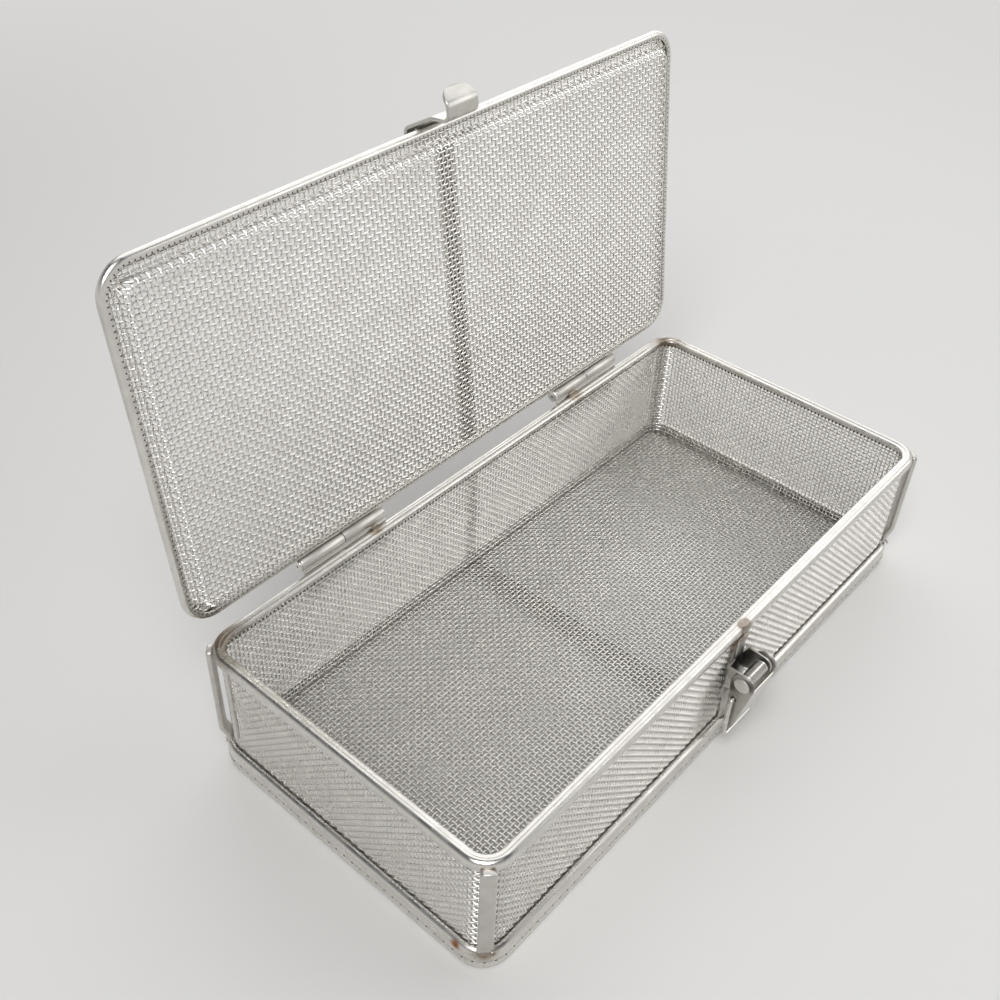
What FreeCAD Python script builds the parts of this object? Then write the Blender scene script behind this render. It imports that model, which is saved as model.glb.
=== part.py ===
import FreeCAD, Part
import math
import os

"""Autoclave basket: woven wire basket with a hinged woven lid and a sprung toggle latch.

Millimetres, +Z up.  X runs along the length, the latch is at the front (-Y) and the hinges
at the back (+Y).  The origin is the middle of the footprint, on the surface it stands on.
The lid group is modelled shut and then turned open about the hinge axis.
"""

Vec = FreeCAD.Vector
X_AXIS = Vec(1, 0, 0)
Z_AXIS = Vec(0, 0, 1)

# --- Driving dimensions -------------------------------------------------------------------
LENGTH = 245.0            # outside of the top rim
WIDTH = 119.0
HEIGHT = 53.0
CORNER_RADIUS = 10.0      # outside corner of the rim in plan

SHEET = 0.8               # folded strip of the rim, ring, lid frame and latch
SEAT_GAP = 0.1            # between pieces that lie on each other
MOVING_GAP = 0.3          # between pieces that pass each other
RUNNING_FIT = 0.05        # radial clearance of a pin in its bore

RIM_WIDTH = 4.1           # folded top rim: an upside-down channel
RIM_OUTER_LEG = 3.5
RIM_INNER_LEG = 2.2
RIM_FOLD = 1.1            # how far its outer fold is eased

RING_HEIGHT = 8.8         # base ring: an upright band with a turned hem
RING_OVERHANG = 0.3       # how far it stands outside the rim
RING_TOP_FLANGE = 1.9
RING_HEM_WIDTH = 3.0
RING_HEM_HEIGHT = 3.7     # the floor lies on the hem

MESH_SHEET = 0.5          # woven wire cloth: a thin wall ...
MESH_RIB = 0.3            # ... with wire ridges standing on both faces
MESH_RIB_WIDTH = 0.7
GAP_SHARE = 0.72          # open part of each cell between two ridges, each way
WALL_INSET = 1.95         # wall cloth behind the outside of the rim
LONG_WALL_GAP_COUNT = 10  # along the front and the back
SHORT_WALL_GAP_COUNT = 4  # along each side
WALL_ROW_COUNT = 3
PANEL_GAP_COUNT = 10      # floor and lid
PANEL_ROW_COUNT = 5

POST_WIDTH = 4.8          # flat bar across each corner
POST_THICKNESS = 2.0
POST_TOP_DROP = 1.6       # below the top of the rim
POST_TOP_CORNER = 1.2     # cut off each upper corner
POST_FOOT_RISE = 6.2      # above the base ring, where the foot starts to turn inwards
POST_HEEL_RISE = 2.7      # above the base ring, where it has turned

UPRIGHT_WIDTH = 5.0       # strap in the middle of the front and back walls
FLOOR_BRACE_WIDTH = 7.4
LID_BRACE_WIDTH = 7.0
STRAP_THICKNESS = 1.0

SEAM_FROM_BACK = 10.0     # strip that closes the ends of the wall cloth, left side
SEAM_WIDTH = 1.4
SEAM_DEPTH = 1.0
SEAM_ROUNDING = 0.63      # of its outer edges
SEAM_RISE = 5.2           # its lower end above the base ring

HINGE_LEFT_INSET = 61.5   # end of the rim to the middle of the barrel; the two hinges
HINGE_RIGHT_INSET = 53.0  # were welded on by hand
BARREL_LENGTH = 37.0
BARREL_RADIUS = 2.3
HINGE_PIN_RADIUS = 1.45
HINGE_HEAD = 0.8
BASKET_LEAF_DROP = 9.3    # from the axis to the lower edge of the leaf on the basket
LID_LEAF_REACH = 6.6      # from the axis to the edge of the leaf on the lid

LID_OPEN_DEG = 96.7
LID_REST_GAP = 0.3        # shut lid above the rim
LID_SIDE_OVERHANG = 0.8
LID_FRONT_OVERHANG = 1.0
LID_REAR_SETBACK = 2.9    # from the hinge axis to the lid's back edge
LID_FRAME_DEPTH = 3.0
LID_TOP_FLANGE = 4.3
LID_BOTTOM_FLANGE = 2.6
PAN_DEPTH = 3.6           # from the lid's edge cloth down to its flat cloth
PAN_CLEARANCE = 0.5       # around the pan, inside the rim

PIVOT_STANDOFF = 6.3      # lever's pivot in front of the rim ...
PIVOT_DROP = 18.2         # ... and below its top
PIVOT_PIN_RADIUS = 1.2
PIVOT_HEAD_RADIUS = 2.5
PIVOT_HEAD = 0.5
BASE_HALF_WIDTH = 6.2
BASE_ABOVE = 3.4          # base plate above the pivot ...
BASE_BELOW = 12.8         # ... and below it
BASE_TAB_GAP = 2.0        # welding tab below the rim's outer leg
BASE_TAB_WIDTH = 4.6
EAR_RADIUS = 2.9
EAR_ROUNDING = 2.75       # of its outer corners
EAR_FOOT_DROP = 6.8
LEVER_RADIUS = 4.2        # round head of the lever's cheeks
LEVER_TIP_RADIUS = 1.7
LEVER_WEB_DROP = 2.4      # below the pivot, where the web between the cheeks starts
BAIL_HOLE_DROP = 7.9      # bail pivot below and behind the lever's pivot
BAIL_HOLE_BACK = 1.8
BAIL_WIRE_RADIUS = 0.75
BAIL_BEND = 1.8
SPRING_WIRE_RADIUS = 0.38
SPRING_RADIUS = 2.1
SPRING_TURN_COUNT = 10
SPRING_SIDE_COUNT = 8
SPRING_PLAY = 0.2         # between the pin and the inside of the coils

KEEPER_WIDTH = 13.2       # sprung hook on the lid's front edge
KEEPER_SHEET = 1.2
KEEPER_BEND = 2.4         # centreline radius of its bends
KEEPER_FOOT_SETBACK = 0.4 # end of its foot, behind the front of the lid frame
KEEPER_HAIRPIN = 6.1      # how far it reaches in over the lid before it doubles back
KEEPER_BOW = 5.0          # height of the doubled part, middle to middle
KEEPER_CREST_SETBACK = 1.3
KEEPER_KNEE = 7.1         # above the hook, where the leaning strip turns upright
KEEPER_STANDOFF = 3.9     # outside of the lid frame to the middle of the hanging strip
KEEPER_DROP = 14.0        # from its foot down to the bottom of the hook
KEEPER_HOOK = 5.2
KEEPER_LIP_OUT = 3.4
KEEPER_LIP_UP = 3.7
KEEPER_TIP_RADIUS = 5.0

# --- Sizes that follow ---------------------------------------------------------------------
MESH = MESH_SHEET + 2 * MESH_RIB
WALL_CORNER_RADIUS = CORNER_RADIUS - WALL_INSET
HALF_LENGTH = LENGTH / 2
HALF_WIDTH = WIDTH / 2
FLOOR_BOTTOM = RING_HEM_HEIGHT
FLOOR_TOP = FLOOR_BOTTOM + MESH
WALL_BOTTOM = FLOOR_TOP + SEAT_GAP
WALL_TOP = HEIGHT - SHEET - SEAT_GAP
UPRIGHT_TOP = HEIGHT - SHEET - RIM_FOLD
RIM_LEG_BOTTOM = HEIGHT - RIM_OUTER_LEG
LID_BOTTOM = HEIGHT + LID_REST_GAP
LID_TOP = LID_BOTTOM + LID_FRAME_DEPTH
HINGE_LEFT_X = HINGE_LEFT_INSET - HALF_LENGTH
HINGE_RIGHT_X = HALF_LENGTH - HINGE_RIGHT_INSET
HINGE_AXIS_Y = HALF_WIDTH + BARREL_RADIUS
HINGE_AXIS_Z = LID_TOP - HINGE_PIN_RADIUS - RUNNING_FIT
LID_FRONT = -HALF_WIDTH - LID_FRONT_OVERHANG
LID_BACK = HINGE_AXIS_Y - LID_REAR_SETBACK
LID_LENGTH = LENGTH + 2 * LID_SIDE_OVERHANG
LID_CLOTH = LID_BOTTOM + LID_FRAME_DEPTH / 2 - MESH / 2
BASE_FACE = -HALF_WIDTH + SHEET + SEAT_GAP / 2
UPRIGHT_BACK = BASE_FACE + STRAP_THICKNESS
EAR_GAP_FACE = BASE_HALF_WIDTH + MOVING_GAP
CHEEK_FACE = EAR_GAP_FACE + SHEET
BAIL_LEG_X = CHEEK_FACE + PIVOT_HEAD + SEAT_GAP + MOVING_GAP / 2 + BAIL_WIRE_RADIUS
PIVOT_Y = -HALF_WIDTH - PIVOT_STANDOFF
PIVOT_Z = HEIGHT - PIVOT_DROP
BASE_BOTTOM = PIVOT_Z - BASE_BELOW
BASE_TOP = PIVOT_Z + BASE_ABOVE
HOLE_Y = PIVOT_Y + BAIL_HOLE_BACK
HOLE_Z = PIVOT_Z - BAIL_HOLE_DROP
HOOK_BACK_Y = LID_FRONT - KEEPER_STANDOFF
HOOK_BOTTOM_Z = LID_TOP + KEEPER_SHEET / 2 - KEEPER_DROP
SEAT_Y = HOOK_BACK_Y - KEEPER_BEND
SEAT_Z = HOOK_BOTTOM_Z + KEEPER_SHEET / 2 + BAIL_WIRE_RADIUS + RUNNING_FIT
BAIL_LENGTH = math.hypot(SEAT_Y - HOLE_Y, SEAT_Z - HOLE_Z)
LEVER_TIP_Z = HOLE_Z - BAIL_LENGTH + BAIL_WIRE_RADIUS + 2 * MOVING_GAP


# --- Drawing helpers -----------------------------------------------------------------------
def rounded_wire(points, radii, closed=True):
    """Joins points by straight edges and rounds each corner with its own radius."""
    count = len(points)
    corners = []
    for i, (point, radius) in enumerate(zip(points, radii)):
        if radius <= 0 or (not closed and i in (0, count - 1)):
            corners.append((point, None, point))
            continue
        back = (points[i - 1] - point).normalize()
        ahead = (points[(i + 1) % count] - point).normalize()
        half = back.getAngle(ahead) / 2
        reach = radius / math.tan(half)
        middle = (back + ahead).normalize() * (radius / math.sin(half) - radius)
        corners.append((point + back * reach, point + middle, point + ahead * reach))
    edges = []
    for i, (start, middle, end) in enumerate(corners):
        if middle is not None:
            edges.append(Part.Arc(start, middle, end).toShape())
        if i + 1 == count and not closed:
            break
        following = corners[(i + 1) % count][0]
        if (following - end).Length > 1e-6:
            edges.append(Part.LineSegment(end, following).toShape())
    return Part.Wire(edges)


def strip_points(centre, thickness, bend):
    """Both sides of a bent strip: corner points and radii around its centreline."""
    sides = ([], [])
    radii = ([], [])
    for i, (u, v) in enumerate(centre):
        before = centre[max(i - 1, 0)]
        after = centre[min(i + 1, len(centre) - 1)]
        first = direction(before, (u, v)) if i else direction((u, v), after)
        second = direction((u, v), after) if i + 1 < len(centre) else first
        turn = first[0] * second[1] - first[1] * second[0]
        shrink = 1 + first[0] * second[0] + first[1] * second[1]
        across = (-(first[1] + second[1]) / shrink, (first[0] + second[0]) / shrink)
        for side, sign in enumerate((1, -1)):
            offset = sign * thickness / 2
            sides[side].append((u + across[0] * offset, v + across[1] * offset))
            bent = bend - math.copysign(thickness / 2, turn) * sign
            radii[side].append(bent if bend and abs(turn) > 1e-9 else 0.0)
    return sides[0] + sides[1][::-1], radii[0] + radii[1][::-1]


def direction(start, end):
    """Unit vector between two (u, v) points."""
    length = math.hypot(end[0] - start[0], end[1] - start[1])
    return (end[0] - start[0]) / length, (end[1] - start[1]) / length


def plan_wire(x_half, y_front, y_back, radius, z):
    """Rounded rectangle in plan, from the middle of the front edge round anticlockwise."""
    points = [Vec(0, y_front, z), Vec(x_half, y_front, z), Vec(x_half, y_back, z),
              Vec(-x_half, y_back, z), Vec(-x_half, y_front, z)]
    return rounded_wire(points, [0] + [radius] * 4)


def plan_plate(x_half, y_front, y_back, radius, bottom, top):
    """Rounded rectangular plate."""
    face = Part.Face(plan_wire(x_half, y_front, y_back, radius, bottom))
    return face.extrude(Vec(0, 0, top - bottom))


def side_plate(points, radii, x_from, x_to):
    """Plate whose outline lies in the YZ plane, between two X places."""
    wire = rounded_wire([Vec(x_from, y, z) for y, z in points], radii)
    return Part.Face(wire).extrude(Vec(x_to - x_from, 0, 0))


def folded_channel(x_half, y_front, y_back, radius, section, thickness):
    """Strip folded to a section of (inset, z) points and run round a rounded rectangle."""
    outline, radii = strip_points(section, thickness, 0)
    profile = Part.Face(rounded_wire([Vec(0, inset, z) for inset, z in outline], radii))
    corners = [Vec(-x_half, y_front, 0), Vec(x_half, y_front, 0), Vec(x_half, y_back, 0),
               Vec(-x_half, y_back, 0)]
    pieces = []
    for i, corner in enumerate(corners):
        side = corners[(i + 1) % 4] - corner
        along = Vec(side).normalize()
        run = side.Length - 2 * radius
        start = profile.copy()
        start.rotate(Vec(), Z_AXIS, 90 * i)
        start.translate(corner + along * radius)
        end = start.copy()
        end.translate(along * run)
        pivot = corner + along * (radius + run) + Z_AXIS.cross(along) * radius
        pieces.append(start.extrude(along * run))
        pieces.append(end.revolve(pivot, Z_AXIS, 90))
    return pieces[0].fuse(pieces[1:]).removeSplitter()


def box(x_from, x_to, y_from, y_to, z_from, z_to):
    """Box between two corners."""
    return Part.makeBox(x_to - x_from, y_to - y_from, z_to - z_from,
                        Vec(x_from, y_from, z_from))


def rod(x_from, x_to, y, z, radius):
    """Cylinder along X."""
    return Part.makeCylinder(radius, x_to - x_from, Vec(x_from, y, z), X_AXIS)


def wire_section(centre, heading, radius):
    """Eight-sided section of a round wire, square to its heading."""
    first = heading.cross(Z_AXIS if abs(heading.z) < 0.5 else X_AXIS).normalize()
    second = heading.cross(first)
    turns = [math.pi / 4 * (i + 0.5) for i in range(8)]
    points = [centre + first * (radius * math.cos(turn)) + second * (radius * math.sin(turn))
              for turn in turns]
    return Part.Face(Part.makePolygon(points + points[:1]))


def bent_wire(points, bends, radius):
    """Wire along straight runs in one plane; a bend of 0 is a tight corner."""
    pieces = []
    start = points[0]
    for before, point, after, bend in zip(points, points[1:], points[2:], bends):
        back = (before - point).normalize()
        ahead = (after - point).normalize()
        if not bend:
            run = wire_section(start, back * -1, radius)
            pieces.append(run.extrude(point - back * radius - start))
            start = point
            continue
        half = back.getAngle(ahead) / 2
        entry = point + back * (bend / math.tan(half))
        pivot = point + (back + ahead).normalize() * (bend / math.sin(half))
        run = wire_section(start, back * -1, radius)
        pieces.append(run.extrude(entry - start))
        bent = wire_section(entry, back * -1, radius)
        pieces.append(bent.revolve(pivot, ahead.cross(back), 180 - math.degrees(2 * half)))
        start = point + ahead * (bend / math.tan(half))
    pieces.append(wire_section(start, (points[-1] - start).normalize(), radius)
                  .extrude(points[-1] - start))
    return pieces[0].fuse(pieces[1:]).removeSplitter()


def teardrop(x_from, x_to, big, big_radius, small, small_radius):
    """Plate round two (y, z) centres with straight sides touching both arcs."""
    heading = math.atan2(small[1] - big[1], small[0] - big[0])
    distance = math.hypot(small[0] - big[0], small[1] - big[1])
    spread = math.acos((big_radius - small_radius) / distance)

    def on_arc(centre, radius, angle):
        return Vec(x_from, centre[0] + radius * math.cos(heading + angle),
                   centre[1] + radius * math.sin(heading + angle))

    head = [on_arc(big, big_radius, angle) for angle in (spread, math.pi, -spread)]
    tip = [on_arc(small, small_radius, angle) for angle in (-spread, 0, spread)]
    wire = Part.Wire([Part.Arc(*head).toShape(), Part.LineSegment(head[2], tip[0]).toShape(),
                      Part.Arc(*tip).toShape(), Part.LineSegment(tip[2], head[0]).toShape()])
    return Part.Face(wire).extrude(Vec(x_to - x_from, 0, 0))


def middles(low, high, count):
    """Middles of equal cells between two ends."""
    step = (high - low) / count
    return [low + step * (i + 0.5) for i in range(count)]


def borders(low, high, count):
    """Borders between neighbouring equal cells."""
    step = (high - low) / count
    return [low + step * i for i in range(1, count)]


# --- Woven wire cloth ----------------------------------------------------------------------
def weave(u_half, v_half, gap_count, row_count):
    """Ridges and gaps of flat cloth in the XY plane, from z 0 up to the cloth's thickness.

    Ridges along Y lie under the sheet and ridges along X on it, between the gaps.
    """
    half_rib = MESH_RIB_WIDTH / 2
    ribs = [box(u - half_rib, u + half_rib, -v_half, v_half, 0, MESH_RIB)
            for u in borders(-u_half, u_half, gap_count)]
    ribs += [box(-u_half, u_half, v - half_rib, v + half_rib, MESH - MESH_RIB, MESH)
             for v in borders(-v_half, v_half, row_count)]
    open_u = GAP_SHARE * u_half / gap_count
    open_v = GAP_SHARE * v_half / row_count
    gaps = [box(u - open_u, u + open_u, v - open_v, v + open_v, 0, MESH)
            for u in middles(-u_half, u_half, gap_count)
            for v in middles(-v_half, v_half, row_count)]
    return Part.makeCompound(ribs), Part.makeCompound(gaps)


def cloth_panel(x_half, y_half, radius, bottom):
    """Flat cloth with rounded corners."""
    ribs, gaps = weave(x_half, y_half, PANEL_GAP_COUNT, PANEL_ROW_COUNT)
    sheet = plan_plate(x_half, -y_half, y_half, radius, MESH_RIB, MESH - MESH_RIB)
    outline = plan_plate(x_half, -y_half, y_half, radius, 0, MESH)
    panel = sheet.cut(gaps).fuse(ribs.common(outline).Solids)
    panel.translate(Vec(0, 0, bottom))
    return panel


def cloth_walls():
    """Wall cloth in one band round the basket, its joined ends at the seam strip."""
    inset = WALL_INSET + MESH_RIB
    x_half = HALF_LENGTH - WALL_INSET
    y_half = HALF_WIDTH - WALL_INSET
    radius = WALL_CORNER_RADIUS
    outer = plan_plate(x_half - MESH_RIB, MESH_RIB - y_half, y_half - MESH_RIB,
                       radius - MESH_RIB, WALL_BOTTOM, WALL_TOP)
    depth = MESH_RIB + MESH_SHEET
    hollow = plan_plate(x_half - depth, depth - y_half, y_half - depth, radius - depth,
                        WALL_BOTTOM, WALL_TOP)
    band = outer.cut(hollow)
    half_height = (WALL_TOP - WALL_BOTTOM) / 2
    sides = ((x_half - radius, y_half, LONG_WALL_GAP_COUNT),
             (y_half - radius, x_half, SHORT_WALL_GAP_COUNT))
    ribs = []
    for i in range(4):
        run, reach, gap_count = sides[i % 2]
        pattern = weave(run, half_height, gap_count, WALL_ROW_COUNT)
        for shape in pattern:
            shape.translate(Vec(0, 0, reach - MESH))
            shape.rotate(Vec(), X_AXIS, 90)
            shape.translate(Vec(0, 0, WALL_BOTTOM + half_height))
            shape.rotate(Vec(), Z_AXIS, 90 * i)
        ribs += pattern[0].Solids
        band = band.cut(pattern[1])
    return band.fuse(ribs)


# --- Basket --------------------------------------------------------------------------------
def rim_channel():
    """Top rim: strip folded over the top edge of the wall cloth."""
    half = SHEET / 2
    section = [(RIM_WIDTH - half, HEIGHT - RIM_INNER_LEG), (RIM_WIDTH - half, HEIGHT - half),
               (half + RIM_FOLD, HEIGHT - half), (half, HEIGHT - half - RIM_FOLD),
               (half, RIM_LEG_BOTTOM)]
    return folded_channel(HALF_LENGTH, -HALF_WIDTH, HALF_WIDTH, CORNER_RADIUS, section,
                          SHEET)


def base_ring():
    """Base ring: band with a lip over the cloth and a hem that carries the floor."""
    half = SHEET / 2
    section = [(RING_TOP_FLANGE, RING_HEIGHT - half), (half, RING_HEIGHT - half),
               (half, half), (RING_HEM_WIDTH - half, half),
               (RING_HEM_WIDTH - half, RING_HEM_HEIGHT)]
    return folded_channel(HALF_LENGTH + RING_OVERHANG, -HALF_WIDTH - RING_OVERHANG,
                          HALF_WIDTH + RING_OVERHANG, CORNER_RADIUS + RING_OVERHANG,
                          section, SHEET)


def floor_mesh():
    """Floor cloth lying on the hem of the base ring."""
    inset = SHEET + MOVING_GAP - RING_OVERHANG
    return cloth_panel(HALF_LENGTH - inset, HALF_WIDTH - inset, CORNER_RADIUS - inset,
                       FLOOR_BOTTOM)


def corner_post(x_sign, y_sign):
    """Flat bar outside one corner, cranked in at its foot to stand on the ring."""
    out = CORNER_RADIUS + SEAT_GAP / 2 + POST_THICKNESS / 2
    foot = CORNER_RADIUS + RING_OVERHANG - POST_THICKNESS / 2
    top = HEIGHT - POST_TOP_DROP
    centre = [(out, top), (out, RING_HEIGHT + POST_FOOT_RISE),
              (foot, RING_HEIGHT + POST_HEEL_RISE), (foot, RING_HEIGHT)]
    outline, radii = strip_points(centre, POST_THICKNESS, POST_THICKNESS)
    wire = rounded_wire([Vec(u, -POST_WIDTH / 2, v) for u, v in outline], radii)
    post = Part.Face(wire).extrude(Vec(0, POST_WIDTH, 0))
    top_edges = [edge for edge in post.Edges if edge.BoundBox.ZMin > top - SEAT_GAP
                 and edge.BoundBox.YLength < SEAT_GAP]
    post = post.makeChamfer(POST_TOP_CORNER, top_edges)
    post.rotate(Vec(), Z_AXIS, math.degrees(math.atan2(y_sign, x_sign)))
    post.translate(Vec(x_sign * (HALF_LENGTH - CORNER_RADIUS),
                       y_sign * (HALF_WIDTH - CORNER_RADIUS), 0))
    return post


def wall_upright(y_sign):
    """Strap up the middle of a long wall, from the ring into the rim."""
    near, far = sorted((y_sign * -UPRIGHT_BACK, y_sign * -BASE_FACE))
    return box(-UPRIGHT_WIDTH / 2, UPRIGHT_WIDTH / 2, near, far, RING_HEIGHT, UPRIGHT_TOP)


def floor_brace():
    """Strap across the middle of the floor, inside the hem of the ring."""
    reach = HALF_WIDTH + RING_OVERHANG - RING_HEM_WIDTH
    top = FLOOR_BOTTOM - SEAT_GAP / 2
    return box(-FLOOR_BRACE_WIDTH / 2, FLOOR_BRACE_WIDTH / 2, -reach, reach,
               top - STRAP_THICKNESS, top)


def mesh_seam_strip():
    """Half-round strip over the joined ends of the wall cloth, round at its lower end."""
    face = WALL_INSET - HALF_LENGTH
    middle = HALF_WIDTH - SEAM_FROM_BACK
    strip = box(face - SEAM_DEPTH, face, middle - SEAM_WIDTH / 2, middle + SEAM_WIDTH / 2,
                RING_HEIGHT + SEAM_RISE, RIM_LEG_BOTTOM - SEAT_GAP)
    outer_edges = [edge for edge in strip.Edges if edge.BoundBox.XMax < face - SEAM_DEPTH / 2
                   and edge.BoundBox.ZLength > SEAM_WIDTH]
    return strip.makeFillet(SEAM_ROUNDING, outer_edges)


# --- Hinges --------------------------------------------------------------------------------
def knuckle(x_from, x_to):
    """Rolled tube round the hinge pin."""
    tube = rod(x_from, x_to, HINGE_AXIS_Y, HINGE_AXIS_Z, BARREL_RADIUS)
    return tube.cut(hinge_bore(x_from, x_to))


def hinge_bore(x_from, x_to):
    """Space of the hinge pin with its running clearance."""
    return rod(x_from, x_to, HINGE_AXIS_Y, HINGE_AXIS_Z, HINGE_PIN_RADIUS + RUNNING_FIT)


def hinge_halves(centre):
    """X range of the basket's half (nearer the middle) and the lid's half of a barrel."""
    inner = math.copysign(abs(centre) - BARREL_LENGTH / 2, centre)
    outer = math.copysign(abs(centre) + BARREL_LENGTH / 2, centre)
    gap = math.copysign(MOVING_GAP / 2, centre)
    return sorted((inner, centre - gap)), sorted((centre + gap, outer))


def leaf_thickness():
    """Leaf as thick as the wall of the rolled tube."""
    return BARREL_RADIUS - HINGE_PIN_RADIUS - RUNNING_FIT


def notch_distance():
    """How far a leaf stays from the axis plane where the other half's tube turns."""
    inner_face = BARREL_RADIUS - leaf_thickness()
    turning = BARREL_RADIUS + MOVING_GAP
    return math.sqrt(turning ** 2 - inner_face ** 2)


def basket_hinge_leaf(centre):
    """Leaf down the back of the rim, rolled round the pin on its inner half."""
    own, other = hinge_halves(centre)
    face = HINGE_AXIS_Y - BARREL_RADIUS
    low = HINGE_AXIS_Z - BASKET_LEAF_DROP
    leaf = box(*own, face, face + leaf_thickness(), low, HINGE_AXIS_Z)
    wing = box(min(own[0], other[0]), max(own[1], other[1]), face,
               face + leaf_thickness(), low, HINGE_AXIS_Z - notch_distance())
    return knuckle(*own).fuse([leaf.cut(hinge_bore(*own)), wing]).removeSplitter()


def lid_hinge_leaf(centre):
    """Leaf on top of the lid frame, rolled round the pin on its outer half (lid shut)."""
    other, own = hinge_halves(centre)
    top = HINGE_AXIS_Z + BARREL_RADIUS
    under = top - leaf_thickness()
    edge = HINGE_AXIS_Y - LID_LEAF_REACH
    leaf = box(*own, edge, HINGE_AXIS_Y, under, top)
    wing = box(min(own[0], other[0]), max(own[1], other[1]), edge,
               HINGE_AXIS_Y - notch_distance(), under, top)
    return knuckle(*own).fuse([leaf.cut(hinge_bore(*own)), wing]).removeSplitter()


def hinge_pin(centre, hexagonal):
    """Pin through both tubes with one formed head, at its end towards -X."""
    half = BARREL_LENGTH / 2
    seat = centre - half - SEAT_GAP
    pin = rod(seat, centre + half, HINGE_AXIS_Y, HINGE_AXIS_Z, HINGE_PIN_RADIUS)
    if hexagonal:
        head = hexagon_head(seat - HINGE_HEAD, seat)
    else:
        head = rod(seat - HINGE_HEAD, seat, HINGE_AXIS_Y, HINGE_AXIS_Z, BARREL_RADIUS)
    return pin.fuse(head).removeSplitter()


def hexagon_head(x_from, x_to):
    """Six-sided pin head."""
    points = []
    for i in range(6):
        angle = math.radians(60 * i + 30)
        points.append(Vec(x_from, HINGE_AXIS_Y + BARREL_RADIUS * math.cos(angle),
                          HINGE_AXIS_Z + BARREL_RADIUS * math.sin(angle)))
    face = Part.Face(Part.makePolygon(points + points[:1]))
    return face.extrude(Vec(x_to - x_from, 0, 0))


# --- Lid (modelled shut) -------------------------------------------------------------------
def lid_frame():
    """Lid frame: channel that opens inwards and holds the edge of the lid cloth."""
    half = SHEET / 2
    section = [(LID_BOTTOM_FLANGE, LID_BOTTOM + half), (half, LID_BOTTOM + half),
               (half, LID_TOP - half), (LID_TOP_FLANGE, LID_TOP - half)]
    return folded_channel(LID_LENGTH / 2, LID_FRONT, LID_BACK,
                          CORNER_RADIUS + LID_SIDE_OVERHANG, section, SHEET)


def lid_mesh():
    """Lid cloth pressed to a shallow pan that drops inside the rim."""
    pan_inset = RIM_WIDTH + PAN_CLEARANCE
    x_half = HALF_LENGTH - pan_inset
    y_half = HALF_WIDTH - pan_inset
    radius = CORNER_RADIUS - RIM_WIDTH
    flat = LID_CLOTH - PAN_DEPTH
    panel = cloth_panel(x_half, y_half, radius, flat)
    wall = plan_plate(x_half, -y_half, y_half, radius, flat + MESH_RIB, LID_CLOTH + MESH)
    core = plan_plate(x_half - MESH, MESH - y_half, y_half - MESH, radius - MESH,
                      flat + MESH_RIB, LID_CLOTH + MESH)
    edge = SHEET + MOVING_GAP
    brim = plan_plate(LID_LENGTH / 2 - edge, LID_FRONT + edge, LID_BACK - edge,
                      CORNER_RADIUS, LID_CLOTH, LID_CLOTH + MESH)
    return panel.fuse([wall.cut(core), brim.cut(core)]).removeSplitter()


def lid_brace():
    """Strap across the middle of the lid, lying on the outer side of its cloth."""
    reach = HALF_WIDTH - RIM_WIDTH - PAN_CLEARANCE - MESH - SEAT_GAP
    low = LID_CLOTH - PAN_DEPTH + MESH
    return box(-LID_BRACE_WIDTH / 2, LID_BRACE_WIDTH / 2, -reach, reach,
               low, low + STRAP_THICKNESS)


def latch_keeper():
    """Strip doubled back on the lid's front edge as a spring, hanging down to a hook."""
    foot_z = LID_TOP + KEEPER_SHEET / 2
    hairpin_y = LID_FRONT + KEEPER_HAIRPIN
    crown_z = foot_z + KEEPER_BOW
    centre = [(LID_FRONT + KEEPER_FOOT_SETBACK, foot_z), (hairpin_y, foot_z),
              (hairpin_y, crown_z), (LID_FRONT + KEEPER_CREST_SETBACK, crown_z),
              (HOOK_BACK_Y, HOOK_BOTTOM_Z + KEEPER_KNEE), (HOOK_BACK_Y, HOOK_BOTTOM_Z),
              (HOOK_BACK_Y - KEEPER_HOOK, HOOK_BOTTOM_Z),
              (HOOK_BACK_Y - KEEPER_HOOK - KEEPER_LIP_OUT, HOOK_BOTTOM_Z + KEEPER_LIP_UP)]
    outline, radii = strip_points(centre, KEEPER_SHEET, KEEPER_BEND)
    half = KEEPER_WIDTH / 2
    strip = side_plate(outline, radii, -half, half)
    tip_y = min(y for y, z in outline)
    low = HOOK_BOTTOM_Z - KEEPER_SHEET
    points = [Vec(half, hairpin_y + KEEPER_SHEET, low), Vec(-half, hairpin_y + KEEPER_SHEET, low),
              Vec(-half, tip_y, low), Vec(half, tip_y, low)]
    tongue = Part.Face(rounded_wire(points, [0, 0, KEEPER_TIP_RADIUS, KEEPER_TIP_RADIUS]))
    return strip.common(tongue.extrude(Vec(0, 0, crown_z + KEEPER_SHEET - low)))


def opened(shape):
    """Turns a piece of the shut lid to the open pose."""
    turned = shape.copy()
    turned.rotate(Vec(0, HINGE_AXIS_Y, HINGE_AXIS_Z), X_AXIS, -LID_OPEN_DEG)
    return turned


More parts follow.
